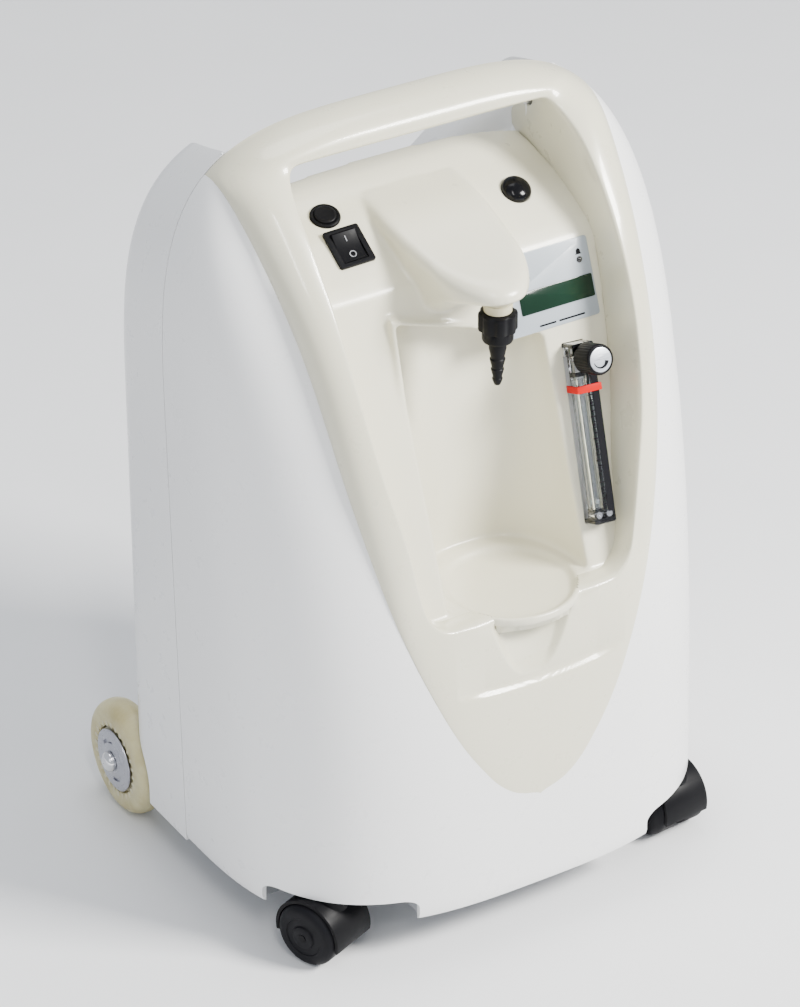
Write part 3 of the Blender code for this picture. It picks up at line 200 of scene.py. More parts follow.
MAT = {
    "shell": moulded("mat_shell", (0.83, 0.83, 0.83), 0.30, coat=0.35, coat_rough=0.12, grain=0.02, wave=0.015, vary=0.012),
    "pearl": moulded("mat_pearl", (0.655, 0.628, 0.485), 0.30, coat=0.55, coat_rough=0.09, grain=0.015, wave=0.02, vary=0.02),
    "panel": moulded("mat_panel", (0.70, 0.67, 0.53), 0.33, coat=0.35, coat_rough=0.14, grain=0.025, wave=0.02, vary=0.02),
    "tray": moulded("mat_tray", (0.36, 0.37, 0.39), 0.6, grain=0.12, vary=0.08),
    "label": moulded("mat_label", (0.36, 0.40, 0.44), 0.38, coat=0.2, grain=0.05, vary=0.02),
    "ink": moulded("mat_ink", (0.006, 0.006, 0.008), 0.5, grain=0.02, vary=0.1, spec=0.08),
    "ink_pale": moulded("mat_ink_pale", (0.55, 0.56, 0.58), 0.45, grain=0.02, vary=0.05),
    "lcd": moulded("mat_lcd", (0.006, 0.024, 0.013), 0.12, spec=0.25, coat=0.1, coat_rough=0.04, grain=0.0, vary=0.25),
    "lamp": moulded("mat_lamp", (0.012, 0.012, 0.014), 0.2, coat=0.6, grain=0.0, vary=0.1),
    "black": moulded("mat_black", (0.004, 0.004, 0.005), 0.42, grain=0.1, vary=0.2, spec=0.1),
    "black_satin": moulded("mat_black_satin", (0.003, 0.003, 0.004), 0.45, grain=0.03, vary=0.2, spec=0.08),
    "ink_mark": moulded("mat_ink_mark", (0.28, 0.29, 0.31), 0.5, grain=0.02, vary=0.05, spec=0.2),
    "black_gloss": moulded("mat_black_gloss", (0.003, 0.003, 0.004), 0.16, coat=0.12, coat_rough=0.05, grain=0.0, vary=0.2, spec=0.12),
    "black_wheel": moulded("mat_black_wheel", (0.006, 0.006, 0.008), 0.48, grain=0.16, vary=0.25, spec=0.12),
    "red": moulded("mat_red", (0.50, 0.002, 0.002), 0.4, grain=0.02, vary=0.05, spec=0.1),
    "steel": metal("mat_steel", (0.52, 0.53, 0.55), 0.28),
    "silver": metal("mat_silver", (0.45, 0.455, 0.50), 0.30, (900.0, 30.0, 30.0), vary=0.06, grain=0.05),
    "disc": metal("mat_disc", (0.72, 0.75, 0.80), 0.34, (30.0, 30.0, 900.0), vary=0.05, grain=0.03),
    "chrome": metal("mat_chrome", (0.75, 0.75, 0.77), 0.08, vary=0.04, grain=0.01),
    "nylon": moulded("mat_nylon", (0.55, 0.50, 0.33), 0.38, grain=0.05, vary=0.1, sub=0.15),
    "tyre": tyre_rubber("mat_tyre", (0.56, 0.51, 0.29), (0.42, 0.36, 0.17)),
    "alloy": metal("mat_alloy", (0.55, 0.56, 0.58), 0.4, (90.0, 90.0, 12.0), grain=0.2),
    "rubber": moulded("mat_rubber", (0.02, 0.02, 0.02), 0.8, grain=0.4, vary=0.3),
    "foam": foam_cells("mat_foam"),
    "grille": moulded("mat_grille", (0.62, 0.63, 0.64), 0.5, grain=0.1, vary=0.04),
    "board": moulded("mat_board", (0.02, 0.16, 0.06), 0.5, grain=0.3, vary=0.35),
    "copper": metal("mat_copper", (0.70, 0.33, 0.16), 0.3),
    "hose": moulded("mat_hose", (0.66, 0.70, 0.70), 0.3, grain=0.05, vary=0.05, sub=0.1),
    "acrylic": clear_plastic("mat_acrylic", (0.93, 0.95, 0.96)),
    "gap": moulded("mat_gap", (0.05, 0.05, 0.055), 0.8, grain=0.1, vary=0.2),
}


# ---------------------------------------------------------------- mesh helpers
def place(points):
    p = np.asarray(points, float)
    return (p - np.array([0.0, DATUM_Y, 0.0])) / 1000.0


def new_object(name, points, faces, key=None, cutter=False, smooth=40.0):
    mesh = bpy.data.meshes.new(name)
    mesh.from_pydata([tuple(v) for v in place(points)], [], [tuple(f) for f in faces])
    bm = bmesh.new()
    bm.from_mesh(mesh)
    bmesh.ops.remove_doubles(bm, verts=bm.verts, dist=1e-6)
    if cutter:
        bmesh.ops.triangulate(bm, faces=bm.faces)
    bmesh.ops.recalc_face_normals(bm, faces=bm.faces)
    if bm.calc_volume(signed=True) < 0:
        bmesh.ops.reverse_faces(bm, faces=bm.faces)
    bm.to_mesh(mesh)
    bm.free()
    obj = bpy.data.objects.new(name, mesh)
    SCENE.collection.objects.link(obj)
    if cutter:
        obj.hide_render = True
        TEMP.append(obj)
    else:
        mesh.materials.append(MAT[key])
        if smooth:
            mesh.set_sharp_from_angle(angle=math.radians(smooth))
    return obj


TEMP = []


def boolean(obj, other, operation="DIFFERENCE"):
    mod = obj.modifiers.new("b", "BOOLEAN")
    mod.operation = operation
    mod.solver = "EXACT"
    mod.object = other
    return obj


def bevel(obj, width, segments=2, angle=35.0):
    mod = obj.modifiers.new("bevel", "BEVEL")
    mod.width = width / 1000.0
    mod.segments = segments
    mod.limit_method = "ANGLE"
    mod.angle_limit = math.radians(angle)
    mod.harden_normals = False
    return obj


def freeze(obj, smooth=None):
    """Applies the modifiers, so that what shows is plain mesh."""
    bpy.context.view_layer.update()
    graph = bpy.context.evaluated_depsgraph_get()
    mesh = bpy.data.meshes.new_from_object(obj.evaluated_get(graph))
    old = obj.data
    obj.modifiers.clear()
    obj.data = mesh
    bpy.data.meshes.remove(old)
    for p in mesh.polygons:
        p.use_smooth = True
    if smooth:
        mesh.set_sharp_from_angle(angle=math.radians(smooth))
    return obj


def show(obj, node=None, body=None, replaces=()):
    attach(obj, body or NODE_BODY[node])
    names = ([node] if node else []) + list(replaces)
    if names:
        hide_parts(*names)
    return obj


def ring_faces(rings, n, closed_rings=False, cap_start=True, cap_end=True):
    """Faces of a stack of rings with n points each."""
    faces = []
    last = rings if closed_rings else rings - 1
    for r in range(last):
        r2 = (r + 1) % rings
        for i in range(n):
            j = (i + 1) % n
            faces.append((r * n + i, r * n + j, r2 * n + j, r2 * n + i))
    if not closed_rings:
        if cap_start:
            faces.append(tuple(reversed(range(n))))
        if cap_end:
            faces.append(tuple((rings - 1) * n + i for i in range(n)))
    return faces


def stack(name, rings, key=None, **kw):
    n = len(rings[0])
    pts = np.concatenate([np.asarray(r, float) for r in rings])
    return new_object(name, pts, ring_faces(len(rings), n), key, **kw)


def frame_of(axis):
    a = np.asarray(axis, float)
    a = a / np.linalg.norm(a)
    ref = np.array([0.0, 0.0, 1.0]) if abs(a[2]) < 0.9 else np.array([1.0, 0.0, 0.0])
    u = np.cross(ref, a)
    u /= np.linalg.norm(u)
    v = np.cross(a, u)
    return u, v, a


def lathe_rings(profile, origin, axis, n):
    """Rings of (r, h) pairs turned about an axis through origin."""
    u, v, a = frame_of(axis)
    origin = np.asarray(origin, float)
    ang = np.linspace(0, 2 * math.pi, n, endpoint=False)
    return [
        np.array([origin + a * h + r * (u * math.cos(t) + v * math.sin(t)) for t in ang])
        for r, h in profile
    ]


def lathe(name, profile, origin, axis, n, key=None, hollow=False, **kw):
    rings = lathe_rings(profile, origin, axis, n)
    pts = np.concatenate(rings)
    return new_object(name, pts, ring_faces(len(rings), n, closed_rings=hollow), key, **kw)


def rounded_rect(cx, cy, w, h, r, seg=3):
    pts = []
    for k, (sx, sy) in enumerate(((1, 1), (-1, 1), (-1, -1), (1, -1))):
        for i in range(seg + 1):
            t = math.radians(90 * k + 90 * i / seg)
            pts.append((cx + sx * (w / 2 - r) + r * math.cos(t), cy + sy * (h / 2 - r) + r * math.sin(t)))
    return pts


def slab(name, outline, origin, u, v, n, lo, hi, key=None, **kw):
    """A plate: 2-D outline in the u, v plane, from lo to hi along n."""
    origin, u, v, n = (np.asarray(q, float) for q in (origin, u, v, n))
    rings = [[origin + u * a + v * b + n * h for a, b in outline] for h in (lo, hi)]
    return stack(name, rings, key, **kw)


def box(name, lo, hi, key=None, **kw):
    x0, y0, z0 = lo
    x1, y1, z1 = hi
    rings = [[(x0, y0, z), (x1, y0, z), (x1, y1, z), (x0, y1, z)] for z in (z0, z1)]
    return stack(name, rings, key, **kw)


def sweep(name, path, radius, n, key=None, **kw):
    """A round solid tube along a path, with parallel-transported rings."""
    path = np.asarray(path, float)
    tang = np.gradient(path, axis=0)
    tang /= np.linalg.norm(tang, axis=1)[:, None]
    u, _, _ = frame_of(tang[0])
    rings = []
    for p, t in zip(path, tang):
        u = u - t * np.dot(u, t)
        u /= np.linalg.norm(u)
        w = np.cross(t, u)
        rings.append([p + radius * (u * math.cos(a) + w * math.sin(a)) for a in np.linspace(0, 2 * math.pi, n, endpoint=False)])
    return stack(name, rings, key, **kw)


def smooth_path(points, per=6):
    """A Catmull-Rom curve through the points."""
    p = [np.asarray(q, float) for q in points]
    p = [2 * p[0] - p[1]] + p + [2 * p[-1] - p[-2]]
    out = []
    for i in range(1, len(p) - 2):
        for k in range(per):
            t = k / per
            a, b, c, d = p[i - 1], p[i], p[i + 1], p[i + 2]
            out.append(0.5 * (2 * b + (c - a) * t + (2 * a - 5 * b + 4 * c - d) * t * t + (3 * b - a - 3 * c + d) * t ** 3))
    out.append(p[-2])
    return out


W0, W1, Z1, NE, ZT = 194.55, 193.44, 362.3, 3.96, 600.0
D0, ZD, PD, ND = 185.8, 115.8, 2.589, 3.085
YS0, KS = 60.0, 0.0315
ZFLOOR = 35.0
ZTIP, ZAP = 114.4, 571.8
YREAR, RREAR = 148.0, 34.0


def seam_y(z):
    return YS0 + KS * (np.asarray(z, float) - 300.0)


def half_width(z, off=0.0):
    z = np.asarray(z, float)
    t = np.clip((z - Z1) / (ZT - off - Z1), 0, 1)
    base = W0 + (W1 - W0) * np.clip((z - 35.0) / (Z1 - 35.0), 0, 1) - off
    return base * (1 - t ** NE) ** (1 / NE)


def dome_depth(z, off=0.0):
    t = np.clip((np.asarray(z, float) - ZD) / (ZT - off - ZD), 0, 1)
    return (D0 - off) * (1 - t ** PD) ** (1 / 1.35)


def front_y(x, z, off=0.0):
    """y of the domed front at x, z."""
    w = np.maximum(half_width(z, off), 1e-6)
    r = np.clip(np.abs(x) / w, 0, 1)
    return seam_y(z) - dome_depth(z, off) * (1 - r ** ND) ** (1 / ND)


def front_normal(x, z):
    e = 0.5
    gx = (front_y(x + e, z) - front_y(x - e, z)) / (2 * e)
    gz = (front_y(x, z + e) - front_y(x, z - e)) / (2 * e)
    n = np.array([gx, -1.0, gz])
    return n / np.linalg.norm(n)


def pchip(xs, ys, x):
    """Monotone cubic through the points."""
    xs, ys = np.asarray(xs, float), np.asarray(ys, float)
    h, d = np.diff(xs), np.diff(ys) / np.diff(xs)
    m = np.zeros(len(xs))
    for i in range(1, len(xs) - 1):
        if d[i - 1] * d[i] > 0:
            a, b = 2 * h[i] + h[i - 1], h[i] + 2 * h[i - 1]
            m[i] = (a + b) / (a / d[i - 1] + b / d[i])
    m[0], m[-1] = d[0], d[-1]
    i = int(np.clip(np.searchsorted(xs, x) - 1, 0, len(h) - 1))
    t = (x - xs[i]) / h[i]
    return float(
        ys[i] * (1 + 2 * t) * (1 - t) ** 2 + h[i] * m[i] * t * (1 - t) ** 2
        + ys[i + 1] * t * t * (3 - 2 * t) + h[i] * m[i + 1] * t * t * (t - 1)
    )


LOOP_T = (0, 0.02, 0.08, 0.2, 0.4, 0.6, 0.8, 1.0)
LOOP_X = (0, 22.9, 48.5, 79.2, 111.6, 129.4, 139.5, 152.8)


def loop_x(z):
    """Outer half width of the loop bezel at height z."""
    return pchip(LOOP_T, LOOP_X, float(np.clip((z - ZTIP) / (ZAP - ZTIP), 0, 1)))


def dome_rows(top, low, n_low, n_top, off):
    """Heights of the rows: straight part, then crowded under the crown."""
    zs = list(np.linspace(low, Z1, n_low, endpoint=False))
    th = np.linspace(0, math.pi / 2, n_top)
    zs += [Z1 + (top - off - Z1) * math.sin(t) ** (2 / NE) for t in th]
    return zs


def dome_solid(name, off, n_a, n_low, n_top, low, back, tuck, **kw):
    """The domed front as a solid: outer form inset by off, back face behind the seam by back."""
    rings = []
    zs = dome_rows(ZT, low, n_low, n_top, off)
    if tuck:
        zs = [low, low + 2.0, low + 6.0] + zs[1:]
    for k, z in enumerate(zs[:-1]):
        inset = (4.0, 1.2, 0.0)[k] if (tuck and k < 3) else 0.0
        w = max(float(half_width(z, off)) - inset, 0.4)
        d = max(float(dome_depth(z, off)) - inset, 0.4)
        ys = float(seam_y(z))
        ring = []
        for a in np.linspace(-math.pi / 2, math.pi / 2, n_a):
            s, c = math.sin(a), max(math.cos(a), 0.0)
            ring.append((w * math.copysign(abs(s) ** (2 / ND), s), ys + (0.6 if back else 0.0) - d * c ** (2 / ND), z))
        ring.append((w, ys + back, z))
        ring.append((-w, ys + back, z))
        rings.append(ring)
    if not back:
        rings = [r[:-2] for r in rings]
    return stack(name, rings, kw.pop("key", None), **kw)


def arch_ring(y, inset, off, low, n_low, n_top):
    """Arch outline at depth y, from left foot over the crown to right foot."""
    ring = []
    top = ZT - off - inset
    w1 = W1 - off - inset
    zs = list(np.linspace(low, Z1, n_low, endpoint=False))
    side = [((W0 + (W1 - W0) * (z - 35) / (Z1 - 35)) - off - inset, z) for z in zs]
    th = np.linspace(0, math.pi / 2, n_top)
    side += [(w1 * math.cos(t) ** (2 / NE), Z1 + (top - Z1) * math.sin(t) ** (2 / NE)) for t in th[:-1]]
    side.append((0.0, top))

    def drop(z):
        return 0.3 * max(0.0, y - float(seam_y(z))) * float(np.clip((z - 300) / 300, 0, 1))

    left = [(-x, y, z - drop(z)) for x, z in side]
    right = [(x, y, z - drop(z)) for x, z in reversed(side[:-1])]
    return left + right


def rear_solid(name, off, n_low, n_top, n_round, low, front_gap, **kw):
    rings = []
    first = arch_ring(60.0, 0.0, off, low, n_low, n_top)
    rings.append([(x, float(seam_y(z)) + front_gap, z) for x, _, z in first])
    r = RREAR - off
    yr = YREAR - off
    rings.append(arch_ring(yr - r, 0.0, off, low, n_low, n_top))
    for k in range(1, n_round + 1):
        a = math.pi / 2 * k / n_round
        rings.append(arch_ring(yr - r + r * math.sin(a), r * (1 - math.cos(a)), off, low, n_low, n_top))
    return stack(name, rings, kw.pop("key", None), **kw)


def prism_y(name, outline, y0, y1, **kw):
    """A prism along y from an x, z outline."""
    rings = [[(x, y, z) for x, z in outline] for y in (y0, y1)]
    return stack(name, rings, kw.pop("key", None), **kw)


def loop_outline(gap, n=26):
    """Hole for the bezel in the front shell: loop edge plus gap, opened out above the shoulders."""
    right = []
    for t in np.linspace(0, 1, n):
        z = ZTIP + (554.6 - ZTIP) * (t ** 1.7)
        right.append((loop_x(z) + gap if z > ZTIP else 0.0, z - (gap if t == 0 else 0)))
    right.append((230.0, 554.6))
    right.append((230.0, 640.0))
    left = [(-x, z) for x, z in reversed(right) if x > 0]
    return right + left


# trough behind the handle bar: a hand recess, wide in front, narrow behind, flared at the top
TROUGH = ((40.0, 122.0, 524.0, 14.0), (94.0, 120.0, 522.0, 14.0), (119.0, 67.0, 503.0, 18.0), (173.0, 35.0, 461.0, 20.0))


def trough(name, grow, **kw):
    rings = []
    for y, hw, zb, r in TROUGH:
        hw, zb, r = hw + grow, zb - grow, r + grow
        half = [(0.0, zb + (7.0 if y < 100 else 2.0))]
        for k in range(5):
            a = math.radians(58) * k / 4
            half.append((hw - r + r * math.sin(a), zb + r - r * math.cos(a)))
        wide = 136.0 + grow
        half.append((max(wide - 6.0, half[-1][0] + 1.0), 556.0 if y > 80 else 566.0))
        half.append((wide + 2.0, 592.0))
        half.append((wide + 4.0, 650.0))
        ring = half + [(-x, z) for x, z in reversed(half) if x > 0]
        rings.append([(x, y - (grow if y < 60 else 0) + (grow if y > 150 else 0), z) for x, z in ring])
    return stack(name, rings, **kw)


def edge_x(z):
    """Half width between the rails' inner edges."""
    return pchip((262, 275, 300, 340, 390, 441, 485, 524, 561), (80, 84, 89, 95, 105.5, 112, 114.5, 114.5, 112), z)


def rail_height(z):
    return pchip((100, 250, 300, 353, 400, 450, 500, 540, 600), (1.5, 2.5, 7, 11, 14, 16.5, 18, 17, 15), z)


def face_y(z):
    """y of the sloped control face, and of the roof it rounds into, at height z."""
    if z <= 486.0:
        return -100.0 + 0.381 * (z - 271.0)
    return pchip((486, 490, 498, 508, 522, 533, 539, 541), (-18.1, -16.5, -9, 4, 25, 48, 68, 86), min(z, 541.0))


def camber(x, z):
    """Fall of the roof towards its sides."""
    return 11.0 * (abs(x) / 114.0) ** 3 * float(np.clip((z - 500.0) / 36.0, 0, 1))


def foot_y(z):
    return face_y(z + 12.0 * float(np.clip((z - 488.0) / 30.0, 0, 1))) + 7.0


SILL = 271.0


SILL = 271.0


def scoop(x, z):
    """Depth of the finger scoop under the sill."""
    if z > 300 or z < 215:
        return 0.0
    v = np.clip((z - 219.0) / (SILL - 219.0), 0, 1.1)
    half = 35.0 * v ** 0.42 if v > 0 else 0.0
    if half <= 0:
        return 0.0
    r = abs(x + 4.0) / half
    return 13.0 * v ** 1.2 * (1 - r * r) if r < 1 else 0.0


FACE_UP = np.array([0.0, 0.381, 1.0]) / math.hypot(0.381, 1.0)
FACE_OUT = np.array([0.0, -1.0, 0.381]) / math.hypot(0.381, 1.0)
XAX = np.array([1.0, 0.0, 0.0])


def roof_frame(x, z):
    """Point, up vector and outward normal of the panel surface at x and profile height z."""
    e = 0.5
    p = np.array([x, face_y(z), z - camber(x, z)])
    q = np.array([x, face_y(z + e), z + e - camber(x, z + e)])
    r = np.array([x + e, face_y(z), z - camber(x + e, z)])
    up = (q - p) / np.linalg.norm(q - p)
    side = (r - p) / np.linalg.norm(r - p)
    out = np.cross(side, up)
    out /= np.linalg.norm(out)
    side = np.cross(up, out)
    return p, side, up, out


NICHE_W = 59.0


def niche_back(z):
    return -22.0 + 20.0 * (z - 271.0) / 189.0


def ceiling(x):
    """Height of the alcove ceiling: high on the left of the spout, low under the label."""
    return pchip((-62, -26, 20, 62), (471.5, 466.5, 435.2, 433.0), max(min(x, 62.0), -62.0))


def niche_ring(z, grow, open_front, n):
    fy = face_y(z)
    depth = niche_back(z) - fy + grow
    w = NICHE_W + grow
    front_at = -175.0 if open_front else fy + 1.2
    ring = [(-w, front_at)]
    for a in np.linspace(-math.pi / 2, math.pi / 2, n):
        s, c = math.sin(a), max(math.cos(a), 0.0)
        ring.append((w * math.copysign(abs(s) ** (2 / 2.6), s), max(fy + depth * c ** (2 / 2.6), fy + 1.4)))
    ring.append((w, front_at))
    return ring


def niche_solid(name, grow, open_front, n, levels, **kw):
    rings = []
    zs = list(np.linspace(264.0 if grow else 270.0, 452.0, levels)) + [452.0]
    for k, z in enumerate(zs):
        last = k == len(zs) - 1
        ring = niche_ring(min(z, 452.0), grow, open_front, n)
        rings.append([(x, y, (ceiling(x) + grow if last else min(z, 425.0 * (k / max(levels - 1, 1)) + z * (1 - k / max(levels - 1, 1))))) for x, y in ring])
    rings = rings[:-2] + [rings[-1]]
    return stack(name, rings, **kw)


def nose_top(y):
    return pchip((-90, -60, -20, 20, 60), (509, 513.5, 521, 530, 536), y)


def nose_bottom(y):
    return pchip((-90, -68, -45, -25, -12, 8, 30, 50), (494, 492.5, 486, 469, 463, 466, 484, 517), y)


FU = np.array([0.066, 0.381, 1.0])
FU /= np.linalg.norm(FU)
FN = FACE_OUT - FU * np.dot(FACE_OUT, FU)
FN /= np.linalg.norm(FN)
FS = np.cross(FU, FN)
FS = FS if FS[0] > 0 else -FS
FP = np.array([77.0, face_y(362.0), 362.0])


def meter(a, b, c):
    return FP + FS * a + FU * b + FN * c


def plan(z, off, n_a):
    """Body outline at height z, inset by off."""
    w, d, ys = float(half_width(z)) - off, float(dome_depth(z)) - off, float(seam_y(z))
    ring = []
    for a in np.linspace(-math.pi / 2, math.pi / 2, n_a):
        s, c = math.sin(a), max(math.cos(a), 0.0)
        ring.append((w * math.copysign(abs(s) ** (2 / ND), s), ys - d * c ** (2 / ND), z))
    r, yr = RREAR - off, YREAR - off
    for k in range(6):
        a = math.pi / 2 * k / 5
        ring.append((w - r + r * math.cos(a), yr - r + r * math.sin(a), z))
    for k in range(6):
        a = math.pi / 2 * (1 - k / 5)
        ring.append((-(w - r + r * math.cos(a)), yr - r + r * math.sin(a), z))
    return ring


def rings_mesh(name, rings, key=None, closed_rings=False, **kw):
    n = len(rings[0])
    pts = np.concatenate([np.asarray(r, float) for r in rings])
    return new_object(name, pts, ring_faces(len(rings), n, closed_rings=closed_rings), key, **kw)


def side_box(tag, sx, a, b, y0, y1, z0, z1):
    x0, x1 = sorted((sx * a, sx * b))
    return box("cut_" + tag, (x0, y0, z0), (x1, y1, z1), cutter=True)


# ---------------------------------------------------------------- shells
front = dome_solid("front_shell_skin", 0.0, 97, 26, 44, ZFLOOR, 0.0, True, key="shell")
boolean(front, dome_solid("cut_front", SHELL_WALL, 61, 14, 24, ZFLOOR - 12, 6.0, False, cutter=True))
ZS = 571.8


def tip_x(z):
    """Half width of the loop edge, its lowest point drawn round."""
    return loop_x(z) * min(1.0, max((z - ZTIP) / 4.5, 0.0)) ** 0.5


def loop_hole(gap, n):
    right = []
    for t in np.linspace(0, 1, n):
        z = ZTIP + (ZS - ZTIP) * (t ** 2.0)
        if t == 0 or z > ZTIP + 0.35:
            right.append((tip_x(z) + gap if t else 0.0, z + (0.15 if t == 0 else 0)))
    right.append((230.0, ZS))
    right.append((230.0, 640.0))
    left = [(-x, z) for x, z in reversed(right) if x > 0]
    return right + left


boolean(front, prism_y("cut_loop", loop_hole(-0.25, 130), -220, 110, cutter=True))
for sx in (-1, 1):
    notch = side_box("notch", sx, 100.0, 260.0, -220, -45, -20, 54)
    bevel(notch, 14, 8)
    boolean(front, notch)
freeze(front, 34)
show(front, "front_shell")

T_Y = (40.0, 94.0, 119.0, 173.0)


def trough_fine(name, grow, **kw):
    rings = []
    for y in np.linspace(40.0, 173.0, 30):
        hw = pchip(T_Y, (122.0, 120.0, 67.0, 35.0), y) + grow
        zb = pchip(T_Y, (524.0, 522.0, 503.0, 461.0), y) - grow
        r = pchip(T_Y, (14.0, 14.0, 18.0, 20.0), y) + grow
        half = [(0.0, zb + pchip((40, 90, 110, 173), (7.0, 6.5, 2.0, 2.0), y))]
        for k in range(11):
            a = math.radians(58) * k / 10
            half.append((hw - r + r * math.sin(a), zb + r - r * math.cos(a)))
        wide = 136.0 + grow
        top = pchip((40, 75, 90, 173), (566.0, 565.0, 556.5, 556.0), y)
        lo = half[-1]
        hi = (max(wide - 6.0, lo[0] + 1.0), top)
        for k in range(1, 9):
            q = k / 8
            half.append((lo[0] + (hi[0] - lo[0]) * q, lo[1] + (hi[1] - lo[1]) * q))
        half.append((wide + 2.0, 592.0))
        half.append((wide + 4.0, 650.0))
        ring = half + [(-x, z) for x, z in reversed(half) if x > 0]
        rings.append([(x, y - (grow if y < 41 else 0) + (grow if y > 172 else 0), z) for x, z in ring])
    return stack(name, rings, **kw)


rear = rear_solid("rear_shell_skin", 0.0, 14, 46, 14, ZFLOOR, 1.0, key="shell")
boolean(rear, trough_fine("cut_trough", 0.0, cutter=True))
hollow = rear_solid("cut_rear", SHELL_WALL, 8, 24, 8, ZFLOOR - 12, -6.0, cutter=True)
boolean(hollow, trough_fine("keep_trough", SHELL_WALL, cutter=True))
boolean(rear, hollow)
WHEEL_Y, WHEEL_Z = 160.0, 46.0
BACK = np.array([0.0, 1.0, 0.0])
ZAX = np.array([0.0, 0.0, 1.0])


def on_rear(x, z):
    return np.array([x, YREAR, z])


rect = rounded_rect
for sx in (-1, 1):
    boolean(rear, lathe("cut_well", ((51.0, 0), (51.0, 60)), (sx * 166.0, WHEEL_Y, WHEEL_Z), (sx, 0, 0), 72, cutter=True))
    boolean(rear, side_box("foot", sx, 166.0, 240.0, WHEEL_Y - 51.0, 240, -30, WHEEL_Z))
boolean(rear, slab("cut_filter", rect(0, 0, 132.6, 112.6, 6, 8), on_rear(0, 350), XAX, ZAX, BACK, -12, 12, cutter=True))
boolean(rear, slab("cut_exhaust", rect(0, 0, 118.6, 88.6, 5, 8), on_rear(0, 118), XAX, ZAX, BACK, -12, 12, cutter=True))
boolean(rear, slab("cut_inlet", rect(0, 0, 30.6, 24.6, 2, 4), on_rear(-112, 96), XAX, ZAX, BACK, -12, 12, cutter=True))
freeze(rear, 34)
show(rear, "rear_shell")


# ---------------------------------------------------------------- loop bezel
def blend3(a, b, t):
    return a + (b - a) * t


def bezel_keys(s):
    if s < 0.62:
        q = s / 0.62
        zo = ZTIP + (556.0 - ZTIP) * q ** 1.35
        xo = tip_x(zo) if q > 0 else 0.0
        lower = 0.34
        if q < lower:
            xe, ze = 72.0 * q / lower, SILL
        else:
            k = (q - lower) / (1 - lower)
            ze = SILL + (545.0 - SILL) * k ** 1.15
            xe = edge_x(ze)
            xe -= (xe - 74.0) * max(0.0, 1 - k / 0.06)
        h = rail_height(zo)
        yf = face_y(ze)
        edge = (xe, float(front_y(xe, ze)) - h, ze)
        foot = (xe, yf + 6.0, SILL - 1.2) if q < lower else (xe - 1.0, foot_y(ze), ze - 1.0)
        return (xo, float(front_y(xo, zo)), zo), edge, foot, h, 0.0
    q = (s - 0.62) / 0.38
    if q < 0.3:
        k = q / 0.3
        ang = k * math.pi / 2
        zo = 556.0 + (582.0 - 556.0) * math.sin(ang)
        xo = min(loop_x(zo), float(half_width(zo)) - 0.05)
        yo = float(seam_y(zo)) - 0.3 if zo > ZS else float(front_y(xo - 1e-3, zo))
        ze = 545.0 + 35.0 * math.sin(ang)
        xe = 114.0 - 14.0 * (1 - math.cos(ang))
        edge = (xe, float(front_y(xe, min(ze, 575))) - rail_height(ze) * (1 - k) - 1.0 * k, ze)
        foot = (xe - 1.0 + 3.0 * k, 93.0 + (66.0 - 93.0) * min(1.0, k * 1.6), ze - 1.0 - 9.0 * k)
        return (xo, yo, zo), edge, foot, 17.0 - 9.0 * k, k
    k = (q - 0.3) / 0.7
    xo = float(half_width(582.0)) * (1 - k)
    lo, hi = 582.0, 600.0
    for _ in range(40):
        mid = (lo + hi) / 2
        lo, hi = (mid, hi) if float(half_width(mid)) > xo else (lo, mid)
    zo = (lo + hi) / 2
    xe = 100.0 * (1 - k)
    return (xo, float(seam_y(zo)) - 0.3, zo), (xe, 30.0, 580.0), (xe + 2.0 * (1 - k), 66.0, 570.0), 8.0, 1.0


def ledge(x, z):
    """Depth of the shallow step across the lower face."""
    zc = 211.0 + 0.0009 * (x - 4.0) ** 2
    w = 1 - ((x - 4.5) / 72.0) ** 2
    if w <= 0 or z < zc - 3.0:
        return 0.0
    up = float(np.clip((z - zc + 3.0) / 5.2, 0, 1))
    return 4.4 * min(w * 1.8, 1.0) * up * up * (3 - 2 * up) * math.exp(-max(z - zc, 0.0) / 24.0)


def sill_line(x):
    """Where the edge of the sill runs before its middle is drawn forward round the seat."""
    return float(front_y(abs(x), SILL)) - rail_height(ZTIP + 60.0)


def hollow_of(x, z):
    """Finger scoop under the sill, steep at its rim so that the outline reads."""
    if z > 300 or z < 214:
        return 0.0
    v = float(np.clip((z - 217.0) / (SILL - 217.0), 0, 1.1))
    half = 36.0 * v ** 0.42 if v > 0 else 0.0
    if half <= 0:
        return 0.0
    r = abs(x + 3.0) / half
    return float(np.clip((SILL - 4.0 - z) / 6.0, 0, 1)) * (3.4 * min(v * 5.0, 1.0) * min((1 - r) * 5.0, 1.0) + 11.0 * v ** 1.2 * (1 - r * r)) if r < 1 else 0.0


